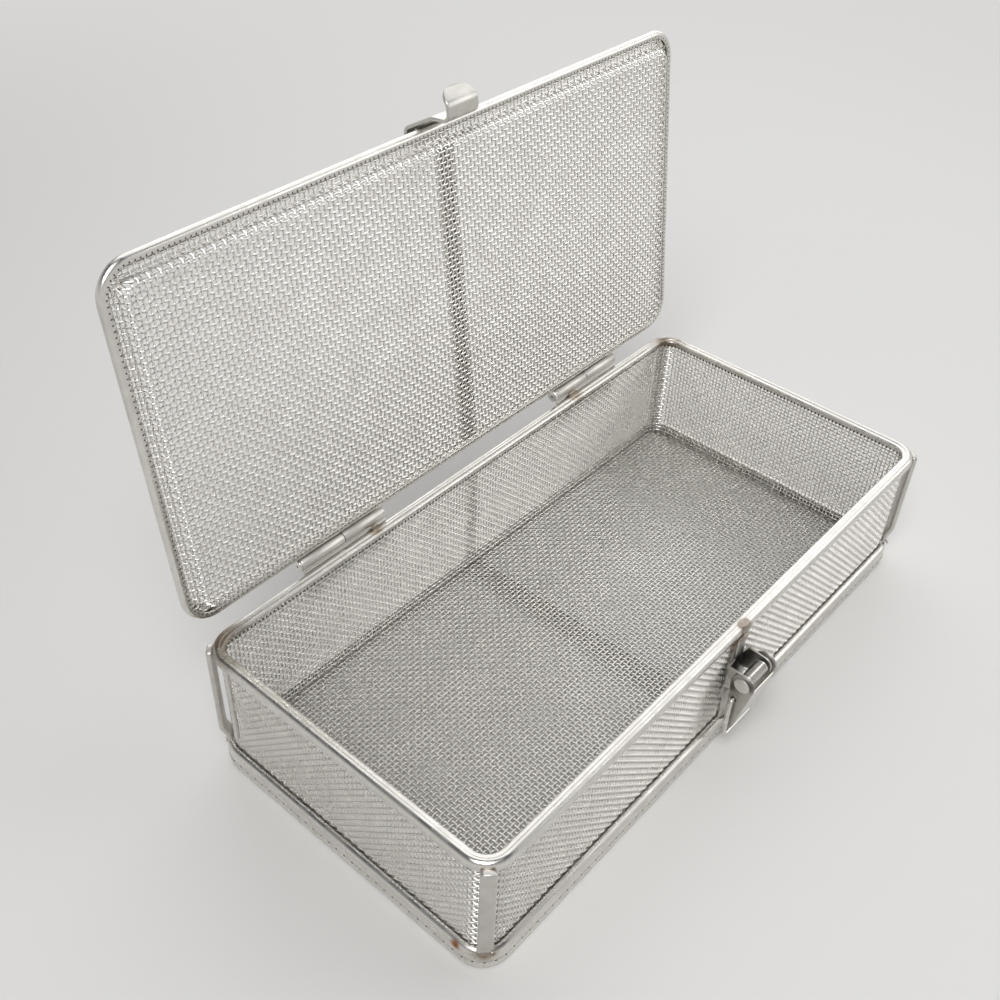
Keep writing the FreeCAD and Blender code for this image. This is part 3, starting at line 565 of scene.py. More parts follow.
@dataclass(frozen=True)
class SteelFinish:
    """Stainless steel 304 with the surface its making left: pale, slightly warm grey metal.

    The metal's colour is even apart from stains and painted shade; what the eye reads is how
    sharply it mirrors the room, the fine drawing or brushing lines, and clouding where cleaning
    and heat dulled it.
    """

    name: str
    colour: str = "d6d4cf"
    shade: str = "b9b6b0"
    roughness: float = 0.26
    cloud: float = 0.08         # how far the roughness wanders
    cloud_size: float = 6.0     # mm
    grain_size: float = 0.35    # mm, width of the fine marks
    grain_stretch: Triple = (1.0, 1.0, 1.0)
    bump: float = 0.05
    metallic: float = 1.0
    crossing: str = ""          # painted shade where one wire dives under another
    tints: tuple[tuple[float, float, float, float, str], ...] = ()  # x, y, z, radius, colour; heat and rust stains, and painted shade

    def stains_and_painted_shade(self, tree: Tree, place: Socket, clouds: Socket, colour: Socket) -> Socket:
        """Heat and rust stains, and painted shade: each fades out with the distance from its own
        middle.

        Share = the tint's strength in its core, 0 at one radius, times how cloudy the sheet
        is there, at most 1.
        """
        for x, y, z, radius, stain_and_shade in self.tints:
            away = add_node(tree, "VectorMath", {0: place, 1: (x * MM, y * MM, z * MM)},
                            operation="DISTANCE").outputs["Value"]
            near = ranged(tree, away, (STAIN_AND_SHADE_CORE * radius * MM, radius * MM),
                          (STAIN_AND_SHADE_STRENGTH, 0.0))
            share = maths(tree, "MULTIPLY", near, clouds, clamp=True)
            colour = mixed(tree, share, colour, linear(stain_and_shade))
        return colour

    def material(self) -> bpy.types.Material:
        """Builds the material, its pattern sizes worked out from millimetres."""
        found = bpy.data.materials.get(self.name)
        if found is not None:
            return found
        material = new_material(self.name)
        tree = material.node_tree
        inputs = add_node(tree, "TexCoord").outputs
        place = inputs["Object"]
        clouds = add_node(tree, "TexNoise", {
            "Vector": place, "Scale": 1 / (self.cloud_size * MM), "Detail": 3.0,
            "Roughness": 0.6}).outputs["Fac"]
        stretched = add_node(tree, "Mapping", {"Vector": place, "Scale": self.grain_stretch},
                             vector_type="POINT")
        grain = add_node(tree, "TexNoise", {
            "Vector": stretched.outputs[0], "Scale": 1 / (self.grain_size * MM),
            "Detail": 2.0, "Roughness": 0.5})
        rough = ranged(tree, clouds, CLOUD_SPAN,
                       (self.roughness - self.cloud, self.roughness + self.cloud), "LINEAR")
        colour = mixed(tree, clouds, linear(self.colour), linear(self.shade))
        bump = add_node(tree, "Bump", {
            "Strength": self.bump, "Distance": BUMP_DEPTH * MM, "Height": grain.outputs["Fac"]})
        # Painted shade: a wire is darkened where it lies deep in the weave, under its neighbour.
        if self.crossing:
            across = add_node(tree, "SeparateXYZ", {"Vector": inputs["UV"]}).outputs["Y"]
            shade_share = ranged(tree, across, CROSSING_SHADE_SPAN, (1.0, 0.0))
            colour = mixed(tree, shade_share, colour, linear(self.crossing))
        shader = add_node(tree, "BsdfPrincipled", {
            "Base Color": self.stains_and_painted_shade(tree, place, clouds, colour),
            "Metallic": self.metallic, "Roughness": rough, "Normal": bump.outputs[0]})
        add_node(tree, "OutputMaterial", {"Surface": shader.outputs[0]})
        return material


class Finish(Enum):
    """The finishes of this basket."""

    # The crossing colour of the cloth is painted shade deep in the weave.
    WOVEN_WIRE = SteelFinish("drawn_wire_cloth", "f8f6f2", "e4e1db", 0.26, 0.06, 9.0, 0.2,
                             crossing="38352f")
    FOLDED_SHEET = SteelFinish(
        "electropolished_sheet", "e6e4df", "cdcac4", 0.28, 0.08, 5.0, 0.3, (0.1, 0.1, 1.0),
        0.10, tints=((-122.8, -48.0, 7.2, 2.4, "96561f"), (0.0, -59.5, 51.5, 4.5, "8d7a64"),
                     (-118.0, 55.0, 53.0, 16.0, "857b6e"), (118.0, 55.0, 53.0, 12.0, "857b6e"),
                     (-48.5, 59.0, 53.0, 5.0, "9a8a74"), (59.5, 59.0, 53.0, 6.0, "8f7c64"),
                     (-120.0, -57.0, 9.0, 6.0, "93826c")))
    SATIN_SHEET = SteelFinish(
        "satin_sheet", "d8d6d1", "bcb9b3", 0.36, 0.06, 4.0, 0.25, UPRIGHT_LINES, 0.14,
        tints=((0.0, -58.6, 46.5, 9.0, "7a5e42"), (0.0, -58.6, 50.5, 6.0, "5d4a38"),
               (-113.0, -52.0, 50.0, 9.0, "94856f"), (-113.0, -52.0, 9.0, 8.0, "94856f")))
    BARREL_SHEET = SteelFinish("rolled_hinge_sheet", "e6e4df", "d0cdc7", 0.42, 0.05, 5.0,
                               0.25, (0.15, 1.0, 1.0), 0.10)
    # Its two near-black tints at the spring are painted shade in the hollow between the ears.
    MOUNTING_SHEET = SteelFinish(
        "latch_mounting_sheet", "d8d6d1", "b4b1ab", 0.32, 0.06, 4.0, 0.25, UPRIGHT_LINES,
        0.12, tints=((0.0, -59.5, 34.5, 9.0, "1c1a18"), (0.0, -59.5, 31.0, 8.0, "1c1a18")))
    # Its three dark grey tints on the cheeks are painted shade.
    LEVER_SHEET = SteelFinish(
        "pressed_lever_sheet", "c9c6c0", "a29f99", 0.34, 0.05, 3.0, 0.25, UPRIGHT_LINES,
        0.12, tints=((-7.3, -61.5, 32.0, 7.0, "57534d"), (-7.3, -68.5, 36.5, 4.0, "6b665f"),
                     (7.3, -61.5, 32.0, 7.0, "57534d")))
    BRIGHT_WIRE = SteelFinish("bright_drawn_wire", "e2e0dc", "cbc8c3", 0.18, 0.05, 3.0, 0.2)
    WELD = SteelFinish("weld_bead", "b4ada3", "84796b", 0.34, 0.1, 1.2, 0.4, bump=0.45)
    # Dark finish of painted shade, for gaps, holes, dents and shadows under the rim and the
    # frame.
    PAINTED_SHADE = SteelFinish("painted_shade_dark", "3a3632", "25221f", 0.6, 0.1, 1.5, 0.4,
                       bump=0.2, metallic=0.3)


class Body(Enum):
    """The bodies that pieces ride on."""

    BASKET = "basket"
    LID = "lid"
    LEVER = "lever"
    BAIL = "bail"


class Slot(Enum):
    """The part's material slots."""

    CLOTH = "wire_cloth"
    CHANNEL = "polished_channel"
    SHEET = "sheet_steel"
    WIRE = "drawn_wire"


def add_piece(name: str, surface: Surface, finish: Finish, *replaces: str,
              body: Body = Body.BASKET, slot: Slot = Slot.SHEET, sharp: float = 50.0) -> None:
    """Puts a surface into the scene as one piece of the object.

    Pieces of the lid are worked out shut, and are turned open here.

    Args:
        name: the piece's name.
        surface: its points and faces, in millimetres.
        finish: its steel finish.
        replaces: solids it stands for.
        body: the body it rides on.
        slot: not used.
        sharp: edges that turn more than this many degrees stay crisp.
    """
    if body is Body.LID:
        surface = opened(surface)
    mesh = bpy.data.meshes.new(name)
    counts = np.concatenate([np.full(len(f), f.shape[1]) for f in surface.faces])
    corners = np.concatenate([f.reshape(-1) for f in surface.faces]).astype(np.int32)
    mesh.vertices.add(len(surface.points))
    mesh.vertices.foreach_set("co", (surface.points * MM).astype(np.float32).reshape(-1))
    mesh.loops.add(len(corners))
    mesh.loops.foreach_set("vertex_index", corners)
    mesh.polygons.add(len(counts))
    mesh.polygons.foreach_set("loop_start", (np.cumsum(counts) - counts).astype(np.int32))
    mesh.polygons.foreach_set("use_smooth", np.ones(len(counts), bool))
    if surface.uv is not None:
        layer = mesh.uv_layers.new(name="UVMap")
        layer.data.foreach_set("uv", surface.uv[corners].astype(np.float32).reshape(-1))
    mesh.update(calc_edges=True)
    mesh.set_sharp_from_angle(angle=math.radians(sharp))
    piece = put(name, mesh)
    mesh.materials.append(finish.value.material())
    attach(piece, body.value)
    if replaces:
        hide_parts(*replaces)
    log.info("%s: %d points, %d faces", name, len(surface.points), len(counts))


# --- Woven cloth ---
def crossings(first: int, second: int) -> Array:
    """Over (+1) or under (-1) at each crossing of a plain weave: (-1) to the power i + j."""
    return 1.0 - 2.0 * ((np.arange(first)[:, None] + np.arange(second)[None, :]) % 2)


def centred(half: float, pitch: float) -> Array:
    """Even places of the given pitch, centred, from -half to +half at most."""
    count = int(half / pitch)
    return pitch * np.arange(-count, count + 1)


@dataclass
class WallCloth:
    """Cloth of the four walls, one band round the basket with its ends under the seam strip."""

    loop: Loop = Loop(120.0, -57.0, 57.0, 7.5)
    wire_radius: float = 0.34
    wave: float = 0.28          # how far each wire swings to either side
    pitch_along: float = 1.55
    pitch_up: float = 1.50
    bottom: float = 5.2
    top: float = 51.8
    curl_top: float = 12.5      # below this the cloth turns in towards the floor
    curl_depth: float = 0.9
    run_out: float = 0.45       # share of a pitch by which upright wires pass the last level one

    def inset(self, height: Array) -> Array:
        """How far the cloth stands in: its depth times the square of the way down the curl."""
        way = np.clip((self.curl_top - height) / (self.curl_top - self.bottom), 0, 1)
        return self.curl_depth * way ** 2

    def dress(self) -> None:
        """Level wires as loops and upright wires between the rim and the floor."""
        count = 2 * round(self.loop.length / self.pitch_along / 2)
        rows = int((self.top - self.bottom) / self.pitch_up)
        heights = self.bottom + self.pitch_up * (0.5 + np.arange(rows))
        weave = crossings(rows, count) * self.wave
        over = np.sign(weave)
        place, normal = map(raised, self.loop.at(self.loop.length * np.arange(count) / count))
        inset = self.inset(heights)[:, None]
        grid = place + heights[:, None, None] * Z_AXIS
        level = grid + normal * (weave - inset)[..., None]
        stems = grid - normal * (weave + inset)[..., None]
        end = Z_AXIS * self.pitch_up * self.run_out
        stems = np.swapaxes(np.concatenate([stems[:1] - end, stems, stems[-1:] + end]), 0, 1)
        under = -np.concatenate([over[:1], over, over[-1:]]).T
        radius = self.wire_radius
        for name, wires in (
                ("level", tubes(level, normal, radius, WIRE_SIDES, True, over)),
                ("upright", tubes(stems, normal[:, None], radius, WIRE_SIDES, over=under))):
            add_piece(f"wall_cloth_{name}_wires", wires, Finish.WOVEN_WIRE, "wall_mesh",
                      slot=Slot.CLOTH, sharp=WIRE_SHARP)


@dataclass
class PanelCloth:
    """Flat cloth with rounded corners, which may be pressed to a shallow pan."""

    name: str
    node: str
    body: Body
    x_half: float
    y_front: float
    y_back: float
    radius: float
    height: float               # of the cloth's middle at its edge
    pan_x: float = 0.0          # outside of the pan; 0 for flat cloth
    pan_front: float = 0.0
    pan_back: float = 0.0
    pan_radius: float = 5.0
    pan_wall: float = 1.2
    pan_depth: float = 0.0
    wire_radius: float = 0.35
    wave: float = 0.29          # how far each wire swings to either side
    pitch: float = CLOTH_PITCH

    def places(self, low: float, high: float, pan_low: float, pan_high: float) -> Array:
        """Wire places along one direction: an even pitch measured on the cloth's own surface.

        Where the cloth climbs the pan's wall, the plan step shrinks by wall width over
        slope length, so the wires there lie as far apart as on the flat.
        """
        if not self.pan_depth:
            half = (high - low) / 2 - self.wire_radius
            return (low + high) / 2 + centred(half, self.pitch)
        slope = math.hypot(self.pan_wall, self.pan_depth)
        plan = np.array([low, pan_low, pan_low + self.pan_wall, pan_high - self.pan_wall,
                         pan_high, high])
        steps = np.diff(plan)
        steps[[1, 3]] = slope
        surface = np.concatenate([[0], np.cumsum(steps)])
        half = surface[-1] / 2
        wires = half + centred(half - self.wire_radius, self.pitch)
        return np.interp(wires, surface, plan)

    def drop(self, x: Array, y: Array) -> Array:
        """How far the pan lies below its edge: a ramp of the distance inside its outline."""
        if not self.pan_depth:
            return np.zeros(np.broadcast(x, y).shape)
        middle = (self.pan_front + self.pan_back) / 2
        half = (self.pan_back - self.pan_front) / 2
        dx = np.abs(x) - (self.pan_x - self.pan_radius)
        dy = np.abs(y - middle) - (half - self.pan_radius)
        inside = self.pan_radius - np.where((dx > 0) & (dy > 0), np.hypot(dx, dy),
                                            np.maximum(dx, dy))
        way = np.clip(inside / self.pan_wall, 0, 1)
        return self.pan_depth * way * way * (3 - 2 * way)

    def wires(self, along_x: bool) -> Surface:
        """All wires of one direction, each cut where it meets the rounded corner."""
        x = self.places(-self.x_half, self.x_half, -self.pan_x, self.pan_x)
        y = self.places(self.y_front, self.y_back, self.pan_front, self.pan_back)
        grid_x, grid_y = np.meshgrid(x, y, indexing="ij")
        lift = (1 if along_x else -1) * crossings(len(x), len(y)) * self.wave
        z = self.height - self.drop(grid_x, grid_y)
        slope_x, slope_y = np.gradient(z, x, y)
        normal = unit(np.stack([-slope_x, -slope_y, np.ones_like(z)], axis=-1))
        path = np.stack([grid_x, grid_y, z], axis=-1) + normal * lift[..., None]
        over = np.sign(lift)
        if along_x:
            path, normal, over = np.swapaxes(path, 0, 1), np.swapaxes(normal, 0, 1), over.T
        middle = (self.y_front + self.y_back) / 2
        dx = np.abs(path[..., 0]) - (self.x_half - self.radius)
        dy = np.abs(path[..., 1] - middle) - ((self.y_back - self.y_front) / 2 - self.radius)
        kept = np.hypot(np.maximum(dx, 0), np.maximum(dy, 0)) <= self.radius
        spans = kept.sum(axis=1)
        parts = []
        for count in np.unique(spans[spans > 2]):
            chosen = spans == count
            start = int(np.argmax(kept[chosen][0]))
            run = slice(start, start + count)
            parts.append(tubes(path[chosen][:, run], normal[chosen][:, run],
                               self.wire_radius, WIRE_SIDES, over=over[chosen][:, run]))
        return Surface.joined(parts)

    def dress(self) -> None:
        """Both directions of wire."""
        for label, along_x in (("long", True), ("cross", False)):
            add_piece(f"{self.name}_{label}_wires", self.wires(along_x), Finish.WOVEN_WIRE,
                      self.node, body=self.body, slot=Slot.CLOTH, sharp=WIRE_SHARP)


# --- Basket ---
@dataclass
class BasketFrame:
    """Top rim, base ring, corner posts and the straps of the basket."""

    half_length: float = 122.5
    half_width: float = 59.5
    height: float = 53.0
    corner: float = 10.0
    sheet: float = 0.8
    ledge: Pair = (2.3, 3.7)    # insets of the rim's inner ledge
    ledge_drop: float = 0.3
    rim_legs: Pair = (3.5, 2.2)                     # how far its outer and inner leg reach down
    ring_overhang: float = 0.3
    ring_height: float = 8.8
    ring_lip: float = 1.9
    hem: Pair = (3.0, 3.7)      # width and height
    seat: float = 0.05          # between the posts and the rim
    post_width: float = 4.8
    post_thickness: float = 2.0
    post_edge: float = 0.75
    post_crank: Pair = (11.5, 15.0)                 # heights between which it steps out
    post_top: float = 50.4
    strap_top: float = 51.1
    strap_inset: float = 1.35
    strap_width: float = 5.0
    strap_sheet: float = 1.0
    floor_strap: Triple = (2.7, 3.15, 7.4)          # inset, height and width
    seam: Triple = (-120.55, 49.5, 14.0)            # foot of the seam strip
    dash_row: Pair = (3.5, 3.7)                     # pitch and height
    dash_size: Triple = (1.25, 0.42, 0.2)
    dash_end_size: Triple = (0.45, 0.36, 0.1)
    # Dots of painted shadow that the wires' tops cast on the rim's inner leg:
    tooth_inset: float = 4.1
    tooth_pitch: float = 1.55
    tooth_drop: float = 2.45    # below the rim's top
    tooth_size: Triple = (-0.4, 0.5, -0.12)         # signs turned, so that it rises inwards

    def ring_loop(self) -> Loop:
        """Outer face of the base ring."""
        out = self.ring_overhang
        return Loop(self.half_length + out, -self.half_width - out, self.half_width + out,
                    self.corner + out)

    def folded(self) -> None:
        """Rim with a flat inner ledge one step down, and ring with a lip and a hem."""
        t = self.sheet / 2
        top = self.height - t
        step = top - self.ledge_drop
        inner, deep = self.ledge
        rim = rounded([(deep, self.height - self.rim_legs[1]), (deep, step), (inner, step),
                       (inner - self.ledge_drop, top), (t, top),
                       (t, self.height - self.rim_legs[0] + t)],
                      [0, 0.55, 0.25, 0.25, 1.3, 0], 6)
        high, (width, rise) = self.ring_height - t, self.hem
        ring = rounded([(self.ring_lip - t, high), (t, high), (t, t), (width - t, t),
                        (width - t, rise - t)], [0, 1.4, 0.7, 0.6, 0], 8)
        rim_loop = Loop(self.half_length, -self.half_width, self.half_width, self.corner)
        for name, loop, line, node in (("rim_fold", rim_loop, rim, "rim_channel"),
                                       ("base_ring_fold", self.ring_loop(), ring, "base_ring")):
            add_piece(name, around_loop(loop, strip_section(line, self.sheet)),
                      Finish.FOLDED_SHEET, node, slot=Slot.CHANNEL)

    def corner_line(self, x_sign: int, y_sign: int) -> tuple[Array, Array]:
        """Centre of a corner's arc and the direction away from the basket's middle."""
        centre = np.array([x_sign * (self.half_length - self.corner),
                           y_sign * (self.half_width - self.corner), 0.0])
        return centre, unit(np.array([x_sign, y_sign, 0.0]))

    def posts(self) -> None:
        """Corner bars: flat, with eased edges, cranked in at the foot and round at the top."""
        out = self.corner + self.seat + self.post_thickness / 2
        foot = self.corner + self.ring_overhang - self.post_thickness / 2
        low, high = self.post_crank
        line = rounded([(foot, self.ring_height), (foot, low), (out, high),
                        (out, self.post_top)], [0, 2.5, 2.5, 0], 6)
        rises, shares = (0.3, 0.55, 0.75, 0.9, 1.0), (0.96, 0.88, 0.76, 0.58, 0.3)
        line = np.concatenate([line, [(out, self.post_top + rise) for rise in rises]])
        taper = np.ones(len(line))
        taper[-len(shares):] = shares
        section = flat_section(self.post_width, self.post_thickness, self.post_edge)
        outline = section[None] * np.stack([taper, 0.4 + 0.6 * taper], axis=-1)[:, None]
        names = {(-1, -1): "front_left", (1, -1): "front_right", (-1, 1): "back_left",
                 (1, 1): "back_right"}
        for signs, name in names.items():
            centre, away = self.corner_line(*signs)
            path = centre + line[:, :1] * away + line[:, 1:] * Z_AXIS
            add_piece(f"corner_bar_{name}", ribbon(path, np.cross(Z_AXIS, away), outline),
                      Finish.SATIN_SHEET, f"corner_post_{name}")

    def straps(self) -> None:
        """Flat straps with eased edges: one up each long wall, one under the floor."""
        wall = self.half_width - self.strap_inset
        for name, y in (("front", -wall), ("back", wall)):
            strap = bar((0, y, self.ring_height), (0, y, self.strap_top), X_AXIS,
                        self.strap_width, self.strap_sheet)
            add_piece(f"{name}_strap", strap, Finish.SATIN_SHEET, f"{name}_upright")
        inset, z, width = self.floor_strap
        reach = self.half_width - inset
        strap = bar((0, -reach, z), (0, reach, z), X_AXIS, width, self.strap_sheet)
        add_piece("floor_strap", strap, Finish.SATIN_SHEET, "floor_brace")

    def seam_strip(self) -> None:
        """Half-round strip over the cloth's ends, its lower end narrowing to a round tip."""
        x, y, foot = self.seam
        rise = np.array([0.0, 0.08, 0.3, 0.7, 1.4, 12.0, 24.0, 35.4])
        share = np.array([0.25, 0.55, 0.85, 1.0, 1.0, 1.0, 1.0, 1.0])
        turn = np.linspace(0, math.pi, 13)
        half_round = np.stack([0.7 * np.cos(turn), np.sin(turn)], axis=-1)
        path = np.column_stack([np.tile((x, y), (len(rise), 1)), foot + rise])
        add_piece("cloth_seam_strip", swept(path, Y_AXIS, -X_AXIS,
                                            half_round[None] * share[:, None, None]),
                  Finish.BRIGHT_WIRE, "mesh_seam_strip")

    def marks(self) -> None:
        """Long pressed dashes round the ring, painted shade at their ends, and dots of painted
        shadow under the rim.
        """
        ring, inset = self.ring_loop(), self.tooth_inset
        inner = Loop(self.half_length - inset, inset - self.half_width,
                     self.half_width - inset, self.corner - inset)
        dashes = mark_row(ring, *self.dash_row, self.dash_size)
        # Painted shadow: dark dots that the wires' tops cast on the rim's inner leg.
        tooth_shadows = mark_row(inner, self.tooth_pitch, self.height - self.tooth_drop,
                         self.tooth_size)
        # Painted shade: a dark mark at the end of each pressed dash.
        ends = mark_row(ring, *self.dash_row, self.dash_end_size, shift=0.5)
        for name, marks, finish in (("ring_dash_row", dashes, Finish.BRIGHT_WIRE),
                                    ("rim_painted_shadow_row", tooth_shadows, Finish.PAINTED_SHADE),
                                    ("ring_dash_painted_shade", ends, Finish.PAINTED_SHADE)):
            add_piece(name, marks, finish, slot=Slot.CHANNEL)

    def welds(self) -> None:
        """Weld beads where posts, straps and hinges meet the rim and the ring."""
        up, back, slant = (0, 0, 1), (0, 1, 0), (0, -0.7, 0.7)
        places = (((0, -58.2, 52.98), up, (2.6, 1.5, 0.24)),
                  ((0.3, -59.5, 51.2), (0, -1, 0.2), (2.8, 1.5, 0.45)),
                  ((0.2, -59.3, 47.2), (0, -1, 0), (2.7, 1.2, 0.8)),
                  ((0, -59.6, 8.9), (0, -1, 0.6), (2.4, 0.6, 0.4)),
                  ((0, 59.6, 8.9), (0, 1, 0.6), (2.4, 0.6, 0.4)),
                  ((0, 59.3, 49.4), back, (2.4, 0.9, 0.4)),
                  ((-48.4, 58.2, 52.98), up, (1.5, 1.2, 0.24)),
                  ((-48.4, 59.4, 53.1), slant, (1.7, 0.7, 0.5)),
                  ((59.5, 58.3, 52.98), up, (2.6, 1.1, 0.24)),
                  ((59.5, 59.4, 53.1), slant, (2.6, 0.7, 0.55)))
        beads = [bead(*place) for place in places]
        beads += [bead((x, 59.9, 45.6), back, (3.0, 0.5, 0.6))
                  for x in (-69.0, -52.0, 60.0, 79.0)]
        for x_sign in (-1, 1):
            for y_sign in (-1, 1):
                centre, away = self.corner_line(x_sign, y_sign)
                across = np.cross(Z_AXIS, away)
                top = centre + away * (self.corner + 0.1) + Z_AXIS * 50.9
                foot = centre + away * (self.corner + 0.2) + Z_AXIS * 8.7
                side = foot + across * x_sign * y_sign * 2.2
                beads += [bead(top, away + (0, 0, 0.5), (2.2, 0.5, 0.5), across),
                          bead(foot, away + (0, 0, 0.6), (2.5, 0.8, 0.45), across),
                          bead(side, away + (0, 0, 0.6), (1.0, 0.9, 0.6), across)]
        add_piece("frame_weld_beads", Surface.joined(beads), Finish.WELD, slot=Slot.CHANNEL)

    def dress(self) -> None:
        """Builds all the pieces of the basket's frame."""
        self.folded()
        self.posts()
        self.straps()
        self.seam_strip()
        self.marks()
        self.welds()


# --- Lid ---
@dataclass
class Lid:
    """Lid frame, strap and keeper, worked out shut."""

    half_length: float = 123.3
    front: float = -60.5
    back: float = 58.9
    corner: float = 10.8
    sheet: float = 0.8
    bottom: float = 53.3
    top: float = 56.3
    lip: float = 2.6            # width of the frame's lower flange
    flange: float = 4.3         # and of its upper one
    dot_inset: float = 2.0
    dot_size: Triple = (0.34, 0.3, 0.06)
    strap: tuple[float, ...] = (53.7, 52.25, 7.0, 1.0)  # reach, height, width and thickness
    keeper_width: float = 13.2
    keeper_sheet: float = 1.2
    keeper_bend: float = 2.4
    keeper_fold: float = 5.0    # how high it doubles back over itself
    keeper_out: float = 3.9     # how far in front of the lid it hangs
    keeper_fall: float = 14.0
    keeper_tip: float = 5.0     # length over which the hook's end is rounded

    def loop(self, inset: float) -> Loop:
        """The lid's outline, moved in."""
        return Loop(self.half_length - inset, self.front + inset, self.back - inset,
                    self.corner - inset)

    def frame(self) -> None:
        """Channel round the lid, open towards the cloth."""
        t = self.sheet / 2
        low, high = self.bottom + t, self.top - t
        centre = rounded([(self.lip - t, low), (t, low), (t, high), (self.flange - t, high)],
                         [0, 1.0, 1.0, 0], 7)
        add_piece("lid_frame_fold", around_loop(self.loop(0.0),
                                                strip_section(centre, self.sheet)),
                  Finish.FOLDED_SHEET, "lid_frame", body=Body.LID, slot=Slot.CHANNEL)

    def keeper(self) -> None:
        """Sprung keeper: a strip doubled back on the lid, hanging down to a rounded hook.

        Towards its end the strip narrows by tip (1 - sqrt(1 - s^2)) on each side, s going
        from 0 to 1 over the length of the tip.
        """
        foot = self.top + self.keeper_sheet / 2
        fold, low = foot + self.keeper_fold, foot - self.keeper_fall
        inner, down = self.front + 6.1, self.front - self.keeper_out
        line = rounded([(self.front + 0.4, foot), (inner, foot), (inner, fold),
                        (self.front + 1.3, fold), (down, low + 7.1), (down, low),
                        (down - 5.2, low), (down - 8.6, low + 3.7)],
                       [0] + [self.keeper_bend] * 6 + [0], 9)
        steps = np.linspace(0, 1, 9)[1:-1, None]
        line = np.concatenate([line[:-1], line[-2] + (line[-1] - line[-2]) * steps, line[-1:]])
        path = np.column_stack([np.zeros(len(line)), line])
        left = np.linalg.norm(np.diff(path, axis=0), axis=1)[::-1].cumsum()[::-1]
        to_tip = np.concatenate([left, [0.0]])
        short = np.clip(1 - to_tip / self.keeper_tip, 0, 0.999)
        narrowed = self.keeper_tip * (1 - np.sqrt(1 - short ** 2))
        section = flat_section(2.0, self.keeper_sheet, 0.4)
        u = section[:, 0] + np.sign(section[:, 0]) * (
            self.keeper_width / 2 - 1.0 - narrowed[:, None])
        outline = np.stack(np.broadcast_arrays(u, section[:, 1]), axis=-1)
        add_piece("keeper_tongue", ribbon(path, X_AXIS, outline), Finish.SATIN_SHEET,
                  "latch_keeper", body=Body.LID)

    def dress(self) -> None:
        """Frame, keeper, strap, and a dark dot of painted shade at each wire of the cloth along
        the frame.
        """
        self.frame()
        self.keeper()
        reach, z, width, thickness = self.strap
        add_piece("lid_strap", bar((0, -reach, z), (0, reach, z), X_AXIS, width, thickness),
                  Finish.SATIN_SHEET, "lid_brace", body=Body.LID)
        # Painted shade: dark dots at the wire pitch under the frame's lower flange.
        dots = mark_row(self.loop(self.dot_inset), CLOTH_PITCH, self.bottom + 0.01,
                        self.dot_size, down=True)
        add_piece("lid_painted_shade_dots", dots, Finish.PAINTED_SHADE, body=Body.LID, slot=Slot.CHANNEL)


